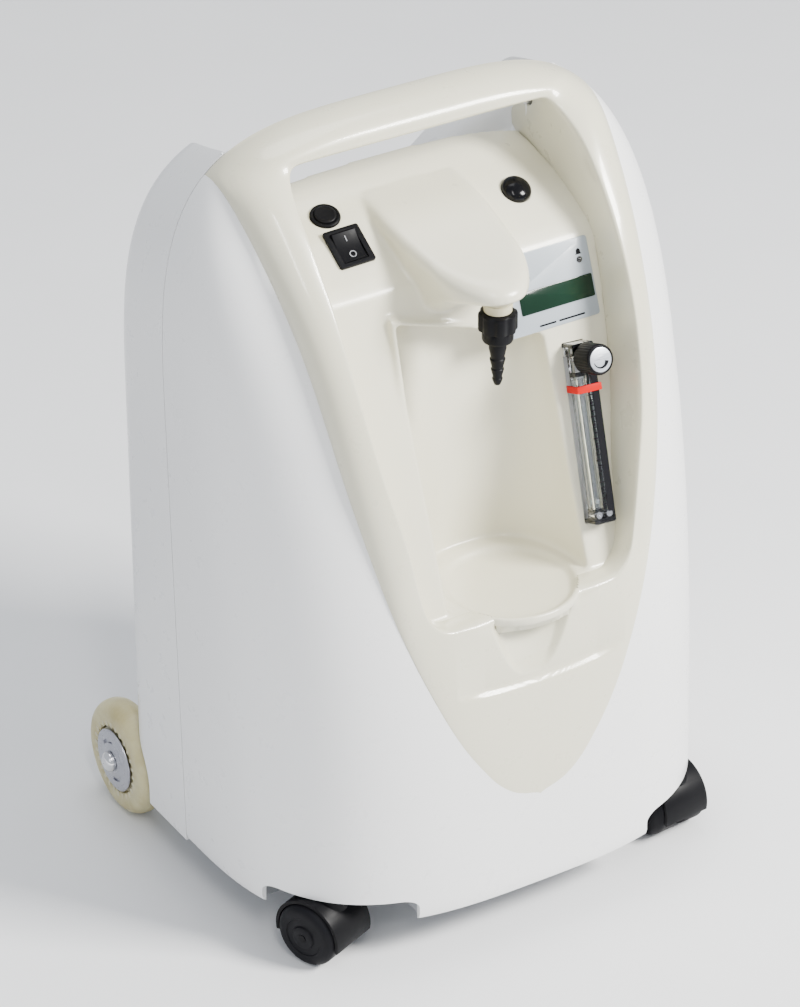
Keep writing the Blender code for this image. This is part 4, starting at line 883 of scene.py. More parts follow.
def bezel_fine(name, key):
    nt, nw, nb = 72, 8, 14
    stations = np.concatenate([0.21 * np.linspace(0, 1, 96, endpoint=False) ** 1.5, np.linspace(0.21, 0.62, 76, endpoint=False), np.linspace(0.62, 0.734, 26, endpoint=False), np.linspace(0.734, 1.0, 30)])
    rings = []
    for s in stations:
        O, E, W, h, bar = bezel_keys(s)
        O, E, W = (np.asarray(q, float) for q in (O, E, W))
        fr, bk = [], []
        for t in np.linspace(0, 1, nt):
            f = (1 - (1 - t) ** 2.4) ** 0.62
            x, z = O[0] + (E[0] - O[0]) * t, O[2] + (E[2] - O[2]) * t
            wmax = float(half_width(z)) - 0.05
            xs = min(x, wmax)
            base = np.array([xs, float(front_y(xs, z)), z])
            n = front_normal(max(xs - 0.6, 0.0), min(z, 596.0))
            rail = base + n * h * f
            end = np.array([E[0], float(front_y(min(E[0], wmax), E[2])), E[2]]) + front_normal(E[0], min(E[2], 596.0)) * h
            rail = rail + (E - end) * t ** 3
            if not fr:
                shift = O - base
            rail = rail + shift * (1 - t) ** 6
            rnd = O + (E - O) * t + np.array([0.0, -0.52, 0.85]) * 9.0 * math.sin(math.pi * t) ** 0.8 + np.array([0, -1.0, 0.0]) * 5.0 * math.sin(math.pi * t ** 1.5)
            fr.append(rail * (1 - bar) + rnd * bar)
            thin = fr[-1] - n * WALL
            thin[1] = max(thin[1], fr[-1][1] + 1.0)
            thick = np.array([fr[-1][0], O[1] + (W[1] - O[1]) * t, O[2] + (W[2] - O[2]) * (t * 0.8) - 0.5])
            bk.append(thin * (1 - bar) + thick * bar)
        for k in range(1, nw + 1):
            p = E + (W - E) * k / nw
            fr.append(p)
            side = np.array([1.0, 0.0, 0.0]) if abs(E[2] - SILL) > 0.5 else np.array([0.0, 0.0, -1.0])
            thin = p + side * WALL
            thick = np.array([p[0], W[1], W[2] + (O[2] - W[2]) * 0.2])
            bk.append(thin * (1 - bar) + thick * bar)
        if bar >= 0.999:
            bk[-1] = W + np.array([0, 0.0, 1.0])
        pick = np.linspace(len(bk) - 1, 0, nb)
        back = [np.array([np.interp(q, range(len(bk)), [b[c] for b in bk]) for c in range(3)]) for q in pick]
        rings.append(fr + back)
    half = np.array(rings)
    half[0, :, 0] = 0.0
    half[-1, :, 0] = 0.0
    other = half[::-1][1:-1].copy()
    other[:, :, 0] *= -1
    grid = np.concatenate([half, other])
    m = grid.shape[1]
    rest = grid.copy()
    nf = nt + nw
    # weight of the rounding: none on the outer edge, which meets the shell, and none on the hidden side of the rails
    wt = np.zeros((len(grid), m))
    bars = np.array([bezel_keys(s)[4] for s in stations])
    bars = np.concatenate([bars, bars[::-1][1:-1]])
    idx = np.arange(m)
    base_w = np.clip((idx - 1) / 10.0, 0, 1) * (idx < nf)
    wt[:] = base_w[None, :]
    full = np.clip((bars - 0.2) / 0.5, 0, 1)[:, None]
    wt = np.maximum(wt, full * np.ones(m)[None, :])
    wt[:, 0] = 0.0
    wt[:, 1] *= 0.35
    wt[:, 2] *= 0.7
    wt[:, m - 1] = np.minimum(wt[:, m - 1], 0.25)
    for _ in range(26):
        avg = (np.roll(grid, 1, 0) + np.roll(grid, -1, 0) + np.roll(grid, 1, 1) + np.roll(grid, -1, 1)) / 4
        grid = grid + (avg - grid) * 0.55 * wt[:, :, None]
    flat = grid.reshape(-1, 3)
    for p in flat:
        near = float(np.clip((-98.0 - p[1]) / 12.0, 0, 1))
        if near > 0:
            p[1] += (hollow_of(p[0], p[2]) + ledge(p[0], p[2])) * near
        across = abs(p[0] - 3.0)
        if SILL - 16.0 < p[2] < SILL + 2.0 and across < 50.0 and p[1] < -100.0:
            rim = -82.0 - math.sqrt(51.0 ** 2 - across ** 2)
            k = float(np.clip((p[2] - SILL + 16.0) / 12.0, 0, 1))
            k = k * k * (3 - 2 * k) * float(np.clip((50.0 - across) / 12.0, 0, 1))
            top = float(np.clip((p[1] + 100.0) / -14.0, 0, 1))
            p[1] += float(np.clip(rim - sill_line(p[0]), -14.0, 1.0)) * k * top
        if SILL - 8.0 < p[2] < SILL + 2.0 and math.hypot(p[0] - 3.0, p[1] + 82.0) < 48.6:
            p[2] -= 8.5
    return rings_mesh(name, list(flat.reshape(len(grid), m, 3)), key, closed_rings=True, smooth=60)


loop = bezel_fine("handle_bezel_skin", "pearl")
show(loop, "handle_bezel")


# ---------------------------------------------------------------- control panel
def nose_outline(scale, n):
    pts = []
    for y in np.linspace(50, 20, 8):
        pts.append((43.0, y))
    for q in np.linspace(0.15, 1, 7):
        pts.append((43.0 - 2.0 * q, 20.0 - 28.0 * q))
    for k in range(n + 1):
        a = math.pi * k / n
        c, s = math.cos(a), math.sin(a)
        pts.append((math.copysign(abs(c) ** 0.85, c) * (26.0 + 11.0 * (1 - s)), -58.0 - 30.0 * s ** 0.9 + 30.0 * (1 - s) * 0.55))
    for q in np.linspace(1, 0.15, 7):
        pts.append((-43.0 + 2.0 * q, 20.0 - 28.0 * q))
    for y in np.linspace(20, 50, 8):
        pts.append((-43.0, y))
    return [(x * scale, (y - 10.0) * (scale if y < 10 else 1.0) + 10.0) for x, y in pts]


def nose_fine(name, n, **kw):
    rings = []
    low = [(q, 0, 0.0) for q in (0.02, 0.25, 0.5, 0.7)]
    top = [(q, 1, 0.0) for q in (0.7, 0.5, 0.25, 0.02)]
    for scale, frac, off in (*low, (0.84, 0, 0.3), (0.93, 0, 1.6), (0.98, 0, 3.4), (1.0, 0, 5.5), (1.0, 1, -8.0), (0.985, 1, -5.0), (0.95, 1, -2.4), (0.90, 1, -0.9), (0.84, 1, -0.1), *top):
        ring = []
        for x, y in nose_outline(scale, n):
            draft = 1.0 if frac else 0.72 + 0.28 * float(np.clip((-25.0 - y) / 35.0, 0, 1))
            ring.append((x * draft, y, (nose_top(y) if frac else nose_bottom(y)) + off))
        rings.append(ring)
    return stack(name, rings, **kw)


def panel_fine(name, nu, zs, key, extra, wall, **kw):
    rings = []
    for z in zs:
        hx = min(edge_x(min(z, 560)), edge_x(z - camber(110, z))) + extra
        y = face_y(z)
        dy = face_y(z + 0.5) - face_y(z - 0.5)
        nrm = np.array([0.0, dy and 1.0, -dy])
        nrm = nrm / np.linalg.norm(nrm)
        top = [np.array([hx * u, y, z - camber(min(abs(hx * u), 114.0), z)]) for u in np.linspace(-1, 1, nu)]
        rings.append(top + [p + nrm * wall for p in top][::-1])
    return stack(name, rings, key, **kw)


zs = sorted(set(list(np.linspace(265, 486, 24)) + list(np.linspace(488, 541, 34))))
panel = panel_fine("control_panel_skin", 45, zs, "panel", 2.4, 4.0)
boolean(panel, niche_solid("add_niche", 4.0, False, 41, 5, cutter=True), "UNION")
boolean(panel, nose_fine("add_nose", 40, cutter=True), "UNION")
boolean(panel, niche_solid("cut_niche", 0.0, True, 41, 5, cutter=True))
boolean(panel, box("add_floor", (-97, -104, 262.0), (97, -40, 269.6), cutter=True), "UNION")
boolean(panel, lathe("add_seat", ((0.5, -7.4), (51.6, -7.4), (51.6, 0.1), (0.5, 0.1)), (3, -82, 269.6), (0, 0, 1), 72, cutter=True), "UNION")
dish = [(0.5, -5.0), (36.0, -4.8), (44.0, -4.2), (47.0, -2.4), (48.4, 0.0), (49.0, 5.0), (49.0, 30.0), (0.5, 30.0)]
boolean(panel, lathe("cut_dish", dish, (3, -82, 269.6), (0, 0, 1), 72, cutter=True))
freeze(panel)
if True:
    remesh = panel.modifiers.new("remesh", "REMESH")
    remesh.mode = "VOXEL"
    remesh.voxel_size = 0.0016
    even = panel.modifiers.new("even", "SMOOTH")
    even.factor = 0.5
    even.iterations = 12
    freeze(panel)
    panel.data.materials.clear()
    panel.data.materials.append(MAT["panel"])

RP, RS, RU, RN = roof_frame(-69.0, 516.5)
BP, BS, BU, BN = roof_frame(-72.0, 531.0)
CP, CS, CU, CN = roof_frame(74.0, 520.5)
boolean(panel, slab("cut_rocker_seat", rect(0, 0, 28.6, 31.6, 1.5, 4), RP, RS, RU, RN, -0.8, 12, cutter=True))
boolean(panel, slab("cut_rocker_hole", rect(0, 0, 24.6, 27.6, 1.0, 2), RP, RS, RU, RN, -14, 6, cutter=True))
boolean(panel, lathe("cut_reset", ((11.3, -1.4), (11.3, 12)), BP, BN, 48, cutter=True))
boolean(panel, lathe("cut_reset_hole", ((9.6, -12), (9.6, 4)), BP, BN, 48, cutter=True))
boolean(panel, lathe("cut_cap", ((11.6, -1.0), (11.6, 12)), CP, CN, 48, cutter=True))
boolean(panel, lathe("cut_cap_hole", ((6.0, -12), (6.0, 4)), CP, CN, 32, cutter=True))
boolean(panel, slab("cut_meter", rect(0, 0, 18.6, 132.6, 1.2, 4), FP, FS, FU, FN, -12, 12, cutter=True))
OX, OY = 0.0, -69.0
boolean(panel, lathe("cut_port_hole", ((7.5, 0), (7.5, 26)), (OX, OY, 482), (0, 0, 1), 32, cutter=True))
freeze(panel, 50)
show(panel, "control_panel")

# closing strip between the roof of the panel and the floor of the recess, and the walls that close the loop's corners behind
rings = []
for x in np.linspace(-106, 106, 41):
    y0, z0 = face_y(541.0) - 5.0, 541.0 - camber(min(abs(x), 114.0), 541.0) - 5.2
    y1, z1 = float(seam_y(530.0)) + 4.0, 523.6 + 7.0 * max(0.0, 1 - abs(x) / 106.0) - 0.6
    rings.append([(x, y0, z0), (x, y1, z1), (x, y1, z1 - 2.0), (x, y0, z0 - 2.0)])
strip_shell = stack("recess_strip", rings, "shell")
show(strip_shell, body="cabinet")
for sx, tag in ((-1, "l"), (1, "r")):
    ys = float(seam_y(560.0)) + 2.0
    corner = stack("recess_corner_" + tag, [[(sx * a, ys, z), (sx * 137.5, ys, z), (sx * 137.5, ys + 2.0, z), (sx * a, ys + 2.0, z)] for z, a in ((546.0, 114.5), (556.0, 114.0), (564.0, 111.5), (571.0, 108.0), (577.0, 104.5), (583.0, 101.0))], "shell")
    show(corner, body="cabinet")

# ---------------------------------------------------------------- controls
LP = np.array([0.0, face_y(459.0), 459.0])


def on_face(a, b):
    return LP + XAX * a + FACE_UP * b


def rounded(points, radius, n=6):
    """Outline with each corner, inner or outer, turned into an arc."""
    out = []
    for k, (x, y) in enumerate(points):
        p = np.array([x, y], float)
        a = np.array(points[k - 1], float) - p
        b = np.array(points[(k + 1) % len(points)], float) - p
        a, b = a / np.linalg.norm(a), b / np.linalg.norm(b)
        for t in np.linspace(0, 1, n):
            out.append(tuple(p + a * radius * (1 - t) ** 2 + b * radius * t ** 2))
    return out


film = rounded(((24.5, -24.0), (108.0, -24.0), (108.0, 34.0), (47.0, 34.0), (47.0, 7.6), (24.5, 7.6)), 2.5)
label = slab("label_film", film, LP, XAX, FACE_UP, FACE_OUT, -0.4, 0.75, "label")
bevel(label, 0.25, 2)
freeze(label, 40)
show(label, "label_panel")
lcd = slab("display_window", rect(75.5, -1.9, 62.0, 16.6, 1.2, 6), LP, XAX, FACE_UP, FACE_OUT, 0.4, 1.35, "lcd")
bevel(lcd, 0.3, 2)
freeze(lcd, 40)
show(lcd, "lcd_window")
led = lathe("alarm_lamp", ((2.3, 0.6), (2.3, 1.1), (2.0, 1.5), (1.4, 2.0), (0.7, 2.3), (0.05, 2.4)), on_face(99.0, 18.0), FACE_OUT, 32, "lamp")
show(led, "status_led")


def print_mark(name, outline, origin, u, v, n, lo, hi, key, body):
    o = slab(name, outline, origin, u, v, n, lo, hi, key)
    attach(o, body)
    return o


# two small lamps beside the spout, a bell outline mark above the alarm lamp and plain rule lines under the display
for k, b in enumerate((13.0, 3.5)):
    lamp = lathe("mode_lamp_%d" % (k + 1), ((1.7, 0.5), (1.7, 0.9), (1.2, 1.3), (0.05, 1.5)), on_face(54.5, b + 12.0), FACE_OUT, 24, "lamp")
    show(lamp, body="cabinet")
bell = []
for t in np.linspace(0, math.pi, 13):
    bell.append((99.0 + 1.7 * math.cos(t), 24.2 + 1.9 * math.sin(t)))
bell += [(97.1, 22.6), (96.2, 21.9), (101.8, 21.9), (100.9, 22.6)]
print_mark("alarm_mark", bell, LP, XAX, FACE_UP, FACE_OUT, 0.6, 0.85, "ink", "cabinet")
for k, (a, w) in enumerate(((64.0, 14.0), (84.5, 22.0))):
    print_mark("rule_mark_%d" % (k + 1), rect(a, -20.5, w, 1.3, 0.5, 3), LP, XAX, FACE_UP, FACE_OUT, 0.6, 0.85, "ink", "cabinet")

# rocker switch: frame with a lip, rocker with a dished face and the two state symbols
sw = slab("switch_frame", rect(0, 0, 28.0, 31.0, 1.6, 5), RP, RS, RU, RN, -0.5, 1.9, "black")
boolean(sw, slab("add_body", rect(0, 0, 24.0, 27.0, 1.0, 2), RP, RS, RU, RN, -16, 1.0, cutter=True), "UNION")
boolean(sw, slab("cut_gap", rect(0, 0, 19.6, 25.0, 0.8, 3), RP, RS, RU, RN, -9, 8, cutter=True))
bevel(sw, 0.45, 3, 50)
freeze(sw, 40)
show(sw, "rocker_frame")
tilt = math.radians(7.0)
top_curve = [(11.4 - 22.8 * q, 2.9 - 1.9 * math.sin(math.pi * q) ** 0.8) for q in np.linspace(0, 1, 23)]
side = [(-11.4, -4.0), (11.4, -4.0)] + top_curve
rock = [(a * math.cos(tilt) - (b + 1) * math.sin(tilt), a * math.sin(tilt) + (b + 1) * math.cos(tilt) - 1) for a, b in side]
rocker = slab("switch_rocker", rock, RP, RU, RN, -RS, -9.5, 9.5, "black_satin")
bevel(rocker, 0.5, 3, 40)
freeze(rocker, 35)
show(rocker, "rocker_button")
RU2 = RU * math.cos(tilt) + RN * math.sin(tilt)
RN2 = RN * math.cos(tilt) - RU * math.sin(tilt)
print_mark("switch_on_mark", rect(0, 6.3, 0.6, 4.6, 0.2, 3), RP, RS, RU2, RN2, 1.2, 2.02, "ink_mark", "rocker")
ring_o = lathe("switch_off_mark", ((2.0, 1.0), (2.55, 1.0), (2.55, 2.0), (2.0, 2.0)), RP - RU2 * 6.2, RN2, 32, "ink_mark", hollow=True)
show(ring_o, body="rocker")

collar = lathe("reset_ring", ((8.4, -9), (9.3, -9), (9.3, -0.9), (10.9, -0.9), (11.0, 0.5), (10.8, 1.1), (10.3, 1.5), (9.6, 1.65), (8.9, 1.6), (8.5, 1.4)), BP, BN, 72, "black", hollow=True, smooth=35)
show(collar, "reset_collar")
button = lathe("reset_push", ((8.1, -7), (8.1, 1.8), (7.9, 2.25), (7.4, 2.6), (6.8, 2.75), (6.0, 2.7), (4.5, 2.35), (2.5, 2.1), (0.05, 2.0)), BP, BN, 72, "black", smooth=35)
show(button, "reset_button")
prof = [(5.6, -9), (5.6, -0.6), (11.2, -0.6), (11.25, 0.6)] + [(11.2 * math.cos(t), 1.0 + 6.0 * math.sin(t)) for t in np.linspace(0.06, math.pi / 2 - 0.004, 18)]
cap = lathe("outlet_cap_dome", prof, CP, CN, 80, "black_gloss", smooth=40)
show(cap, "round_cap")

# ---------------------------------------------------------------- flowmeter
block = slab("meter_block", rect(0, 0, 18.0, 132.0, 1.6, 6), FP, FS, FU, FN, -5.0, 13.6, "acrylic")
boolean(block, lathe("cut_bore", ((3.6, -62), (3.9, 40)), meter(-2.6, 0, 6.5), FU, 40, cutter=True))
boolean(block, lathe("cut_stem", ((3.0, 4.0), (3.0, 20)), meter(1.0, 55, 0), FN, 32, cutter=True))
bevel(block, 0.7, 3, 50)
freeze(block, 35)
show(block, "flowmeter_body")
ball = lathe("meter_float", ((0.05, -3.0), (1.0, -2.85), (2.0, -2.4), (2.9, -1.3), (3.1, -0.5), (3.1, 0.5), (2.9, 1.3), (2.0, 2.4), (1.0, 2.85), (0.05, 3.0)), meter(-1.5, -50, 6.5), FU, 40, "steel")
show(ball, "flowmeter_float")
strip = slab("meter_strip", rect(5.7, -6, 5.0, 104.0, 0.5, 4), FP, FS, FU, FN, 13.55, 13.95, "ink")
show(strip, "flowmeter_scale")
ticks = []
for k in range(21):
    wide = 3.2 if k % 4 == 0 else 1.7
    t = slab("meter_tick_%02d" % k, rect(1.9 - wide / 2 + 0.6, -52.0 + 4.0 * k, wide * 1.3, 0.9, 0.2, 1), FP, FS, FU, FN, 13.5, 13.85, "ink", smooth=None)
    ticks.append(t)
for k in range(5):
    t = slab("meter_dot_%d" % k, rect(1.2, -44.0 + 16.0 * k + 2.0, 2.2, 2.4, 1.0, 3), FP, FS, FU, FN, 13.5, 13.85, "ink", smooth=None)
    ticks.append(t)


def join(name, objs):
    bm = bmesh.new()
    for o in objs:
        bm.from_mesh(o.data)
    mesh = bpy.data.meshes.new(name)
    bm.to_mesh(mesh)
    bm.free()
    mesh.materials.append(objs[0].data.materials[0])
    obj = bpy.data.objects.new(name, mesh)
    SCENE.collection.objects.link(obj)
    for o in objs:
        bpy.data.objects.remove(o)
    return obj


show(join("meter_graduations", ticks), body="cabinet")
backing = slab("meter_backing", rect(-2.2, -4, 12.0, 118.0, 0.5, 2), FP, FS, FU, FN, -4.6, -4.0, "ink_pale")
show(backing, body="cabinet")
tube = lathe("meter_tube", ((3.7, -58), (4.6, -58), (4.6, 42), (3.9, 42)), meter(-2.6, 0, 6.5), FU, 36, "acrylic", hollow=True)
plugs = []
for k, (a, b) in enumerate(((-4.6, -59.5), (4.0, -59.5))):
    plugs.append(lathe("meter_screw_%d" % k, ((0.05, 12.4), (0.6, 12.4), (0.6, 13.9), (2.4, 13.9), (2.6, 13.5), (2.6, 6.0), (0.05, 6.0)), meter(a, b, 0), FN, 24, "chrome"))
show(join("meter_screws", plugs), body="cabinet")
seals = [lathe("meter_seal_%d" % k, ((2.0, 0), (4.4, 0), (4.4, 2.2), (2.0, 2.2)), meter(-2.6, b, 6.5), FU, 28, "ink", hollow=True) for k, b in enumerate((-57.5, 42.0))]
caps = [slab("meter_end_%d" % k, rect(0, b, 17.0, 2.4, 0.6, 3), FP, FS, FU, FN, -4.0, 12.8, "ink") for k, b in enumerate((-64.3, 64.3))]
show(join("meter_seals", seals + caps), body="cabinet")
show(tube, body="cabinet")
band = slab("limit_band", rect(0, 33.0, 20.4, 5.2, 0.5, 3), FP, FS, FU, FN, 0.8, 15.6, "red")
boolean(band, slab("cut_band", rect(0, 33.0, 18.3, 12.0, 0.5, 1), FP, FS, FU, FN, -4, 14.0, cutter=True))
bevel(band, 0.35, 2, 50)
freeze(band, 35)
show(band, "flow_limit_band")

KN = 30
rings = []
for r, h in ((2.7, 5.0), (2.7, 14.6), (9.6, 14.6), (10.6, 15.0), (11.2, 15.8), (11.3, 17.0), (11.3, 31.6), (11.2, 32.8), (10.7, 33.8), (10.3, 34.2), (9.7, 34.3), (9.3, 34.1), (9.1, 33.4)):
    ring = []
    for i in range(KN * 6):
        a = 2 * math.pi * i / (KN * 6)
        flute = 0.42 * max(0.0, math.cos(KN * a)) if 16.0 < h < 33.0 and r > 11 else 0.0
        ring.append(meter(1.0, 55, 0) + FN * h + FS * (r - flute) * math.cos(a) + FU * (r - flute) * math.sin(a))
    rings.append(ring)
knob = stack("valve_knob", rings, "black", smooth=42)
show(knob, "flowmeter_knob")
disc = lathe("valve_disc", ((9.0, 33.2), (9.0, 34.0), (8.8, 34.4), (8.2, 34.55), (0.05, 34.65)), meter(1.0, 55, 0), FN, 72, "disc", smooth=35)
show(disc, "knob_disc")
arc = []
for t in np.linspace(math.radians(195), math.radians(345), 26):
    arc.append((1.0 + 6.3 * math.cos(t), 55 + 6.3 * math.sin(t)))
for t in np.linspace(math.radians(345), math.radians(195), 26):
    q = (math.degrees(t) - 195) / 150.0
    rr = 6.3 - 0.5 - 2.6 * q ** 1.5
    arc.append((1.0 + rr * math.cos(t), 55 + rr * math.sin(t)))
print_mark("valve_arrow", arc, FP, FS, FU, FN, 34.3, 34.75, "ink", "knob")

# ---------------------------------------------------------------- outlet
port = lathe("outlet_stub", ((5.4, 471.4), (5.4, 486.0), (6.6, 488.4), (10.5, 488.4), (10.5, 491.4), (7.1, 491.8), (7.1, 506)), (OX, OY, 0), (0, 0, 1), 64, "nylon", smooth=35)
port_skirt = lathe("outlet_skirt", ((5.6, 484.4), (9.6, 484.4), (10.0, 484.9), (10.2, 497.0), (7.2, 497.0), (7.2, 489.0)), (OX, OY, 0), (0, 0, 1), 64, "nylon", hollow=True, smooth=35)
show(port, "outlet_port")
show(port_skirt, body="cabinet")
RN_ = 96
rings = []
for r, z, lug in ((3.6, 461.0, 0), (9.4, 461.0, 0), (10.5, 461.3, 0), (11.0, 462.2, 0), (11.2, 463.5, 0), (11.2, 468.6, 0), (11.6, 469.6, 1), (13.8, 470.3, 1), (14.0, 471.2, 1), (14.0, 482.2, 1), (13.7, 483.2, 1), (12.0, 483.9, 0), (11.5, 484.1, 0), (5.8, 484.1, 0), (5.8, 466.5, 0), (3.6, 466.5, 0)):
    ring = []
    for i in range(RN_):
        a = 2 * math.pi * i / RN_
        cut = (1.3 * (0.5 + 0.5 * math.cos(8 * a)) ** 2) if lug else 0.0
        ring.append((OX + (r - cut) * math.cos(a), OY + (r - cut) * math.sin(a), z))
    rings.append(ring)
pts = np.concatenate(rings)
nut = new_object("hose_nut", pts, ring_faces(len(rings), RN_, closed_rings=True), "black", smooth=35)
show(nut, "outlet_nut")
barb = lathe("hose_barb", ((1.6, 470.8), (1.6, 426.3), (1.8, 426.0), (2.2, 426.1), (2.6, 427.0), (3.8, 430.5), (3.8, 431.0), (3.3, 431.7), (3.4, 433.0), (4.7, 438.0), (4.7, 438.6), (4.1, 439.3), (4.2, 440.2), (5.6, 446.0), (5.6, 446.7), (4.9, 447.5), (5.2, 449.5), (6.3, 455.0), (6.35, 460.6), (3.3, 460.6), (3.3, 466.8), (5.2, 466.8), (5.2, 470.8)), (OX, OY, 0), (0, 0, 1), 48, "black", hollow=True, smooth=30)
show(barb, "outlet_barb")

# ---------------------------------------------------------------- casters
for sx, tag, turn in ((-1, "l", 22.0), (1, "r", 5.5)):
    t = math.radians(turn)
    U = np.array([math.cos(t), math.sin(t), 0.0])
    V = np.array([-math.sin(t), math.cos(t), 0.0])
    piv = np.array([sx * 150.0, -86.0, 0.0])
    hub = piv + V * 9.0 + ZAX * 25.0
    arc = [(25.5 * math.cos(a), 25.5 * math.sin(a)) for a in np.linspace(math.radians(-12), math.radians(192), 49)]
    arc2 = [(28.3 * math.cos(a), 28.3 * math.sin(a)) for a in np.linspace(math.radians(192), math.radians(-12), 49)]
    hood = slab("caster_fork_" + tag, arc + arc2, hub, V, ZAX, U, -20.0, 20.0, "black")
    web = slab("add_web", [(22.0 * math.cos(a), 22.0 * math.sin(a)) for a in np.linspace(-2.6, -0.54, 20)] + [(27.2 * math.cos(a), 27.2 * math.sin(a)) for a in np.linspace(-0.1, math.pi + 0.1, 30)], hub, V, ZAX, U, -3.0, 3.0, cutter=True)
    boolean(hood, web, "UNION")
    boolean(hood, lathe("add_boss", ((8.0, 30.0), (11.6, 46.0), (11.6, 52.8), (11.2, 53.3)), piv, (0, 0, 1), 48, cutter=True), "UNION")
    for sgn in (-1, 1):
        boolean(hood, lathe("cut_room", ((25.7, 2.7), (25.7, 40.0)), hub, U * sgn, 64, cutter=True))
    boolean(hood, lathe("cut_socket", ((5.3, 50.2), (9.4, 50.9), (9.4, 60.0)), piv, (0, 0, 1), 40, cutter=True))
    boolean(hood, lathe("cut_pin", ((3.3, -30.0), (3.3, 30.0)), hub, U, 24, cutter=True))
    bevel(hood, 0.8, 3, 50)
    freeze(hood, 35)
    show(hood, "caster_hood_" + tag)
    for k, sgn in (("a", -1), ("b", 1)):
        prof = [(3.3, 3.6), (15.0, 3.6), (22.8, 4.0), (24.4, 4.6), (25.0, 6.0), (25.0, 18.6)]
        prof += [(17.0 + 8.0 * math.cos(q) ** 0.9, 18.6 + 5.6 * math.sin(q)) for q in np.linspace(0.12, math.pi / 2 - 0.05, 10)]
        prof += [(15.4, 24.3), (14.8, 23.6), (9.5, 23.9), (8.8, 25.2), (7.8, 25.6), (3.3, 25.6)]
        wheel = lathe("caster_roller_" + tag + k, prof, hub, U * sgn, 96, "black_wheel", hollow=True, smooth=35)
        show(wheel, "caster_wheel_" + tag + k)

# ---------------------------------------------------------------- rear wheels
for sx, tag in ((-1, "l"), (1, "r")):
    hub = np.array([sx * 185.0, WHEEL_Y, WHEEL_Z])
    ax = (sx, 0, 0)
    crown = [(34.6 + 11.4 * math.cos(q) ** 0.75, 12.0 * math.sin(q)) for q in np.linspace(-math.pi / 2 + 0.02, math.pi / 2 - 0.02, 31)]
    prof = [(27.2, -11.6), (30.0, -12.0)] + crown + [(30.0, 12.0), (28.4, 11.7), (27.2, 11.0)]
    tyre = lathe("wheel_tyre_" + tag, prof, hub, ax, 128, "tyre", hollow=True, smooth=40)
    show(tyre, "rear_tyre_" + tag)
    core = lathe("wheel_core_" + tag, ((6.3, -13), (12.0, -13), (12.0, -9), (26.8, -8), (26.8, 8.0), (20.0, 8.4), (11.0, 8.6), (11.0, 11.0), (6.3, 11.0)), hub, ax, 96, "nylon", hollow=True, smooth=35)
    show(core, "rear_hub_" + tag)
    cover = lathe("wheel_cap_" + tag, ((6.6, 11.4), (23.5, 11.4), (25.0, 11.9), (25.3, 12.5), (25.1, 13.1), (24.2, 13.5), (22.0, 13.7), (16.0, 13.9), (11.0, 14.2), (10.0, 14.7), (7.4, 14.8), (6.6, 14.4)), hub, ax, 128, "silver", hollow=True, smooth=30)
    u, v, a = frame_of(ax)
    for k in range(2):
        mid = math.radians(62 + 180 * k)
        slot_pts = [(17.2 * math.cos(q), 17.2 * math.sin(q)) for q in np.linspace(mid - 0.5, mid + 0.5, 18)] + [(14.4 * math.cos(q), 14.4 * math.sin(q)) for q in np.linspace(mid + 0.5, mid - 0.5, 18)]
        boolean(cover, slab("cut_slot", slot_pts, hub, (0, 1, 0), (0, 0, 1), ax, 12.4, 20.0, cutter=True))
    bevel(cover, 0.25, 2, 50)
    freeze(cover, 30)
    show(cover, "rear_cap_" + tag)
    dome = [(8.0 * math.cos(q), 16.8 + 5.0 * math.sin(q)) for q in np.linspace(0.08, math.pi / 2 - 0.05, 14)]
    bolt = lathe("wheel_bolt_" + tag, [(4.4, 12.0), (5.8, 12.0), (5.8, 15.0), (7.9, 15.1), (8.05, 15.5), (8.05, 16.6)] + dome + [(0.4, 16.6), (4.4, 16.0)], hub, ax, 64, "chrome", hollow=True, smooth=35)
    show(bolt, "rear_bolt_" + tag)
    teeth = []
    for k in range(26):
        q = 2 * math.pi * k / 26
        er = np.array([0.0, math.cos(q), math.sin(q)])
        et = np.array([0.0, -math.sin(q), math.cos(q)])
        teeth.append(slab("tooth", rect(29.6, 0, 4.6, 3.0, 1.2, 3), hub, er, et, ax, 11.0, 12.12, "nylon", smooth=None))
    show(join("wheel_teeth_" + tag, teeth), body="rear_wheel_" + tag)

# ---------------------------------------------------------------- rear service side
cover = slab("filter_door", rect(0, 0, 132.0, 112.0, 6, 10), on_rear(0, 350), XAX, ZAX, BACK, -6.0, 1.45, "shell")
boolean(cover, slab("cut_door", rect(0, 0, 127.0, 107.0, 4, 6), on_rear(0, 350), XAX, ZAX, BACK, -9.0, -1.5, cutter=True))
for k in range(7):
    boolean(cover, slab("cut_louvre", rect(0, 0, 96.0, 6.0, 2.9, 8), on_rear(0, 350 - 36 + 12 * k), XAX, ZAX, BACK, -9, 6, cutter=True))
bevel(cover, 0.7, 3, 50)
freeze(cover, 35)
show(cover, "filter_cover")
grille = slab("exhaust_louvre", rect(0, 0, 118.0, 88.0, 5, 10), on_rear(0, 118), XAX, ZAX, BACK, -3.5, 0.95, "grille")
for k in range(6):
    boolean(grille, slab("cut_vent", rect(0, 0, 104.0, 7.0, 3.4, 8), on_rear(0, 118 - 32.5 + 13 * k), XAX, ZAX, BACK, -9, 6, cutter=True))
bevel(grille, 0.6, 3, 50)
freeze(grille, 35)
show(grille, "exhaust_grille")
inlet = slab("mains_inlet", rect(0, 0, 38.0, 30.0, 3, 8), on_rear(-112, 96), XAX, ZAX, BACK, 0.1, 2.15, "black")
boolean(inlet, slab("add_inlet", rect(0, 0, 30.0, 24.0, 2, 4), on_rear(-112, 96), XAX, ZAX, BACK, -24.0, 1.0, cutter=True), "UNION")
boolean(inlet, slab("cut_socket", rect(0, 0, 24.0, 16.5, 3, 8), on_rear(-112, 96), XAX, ZAX, BACK, -18.0, 6.0, cutter=True))
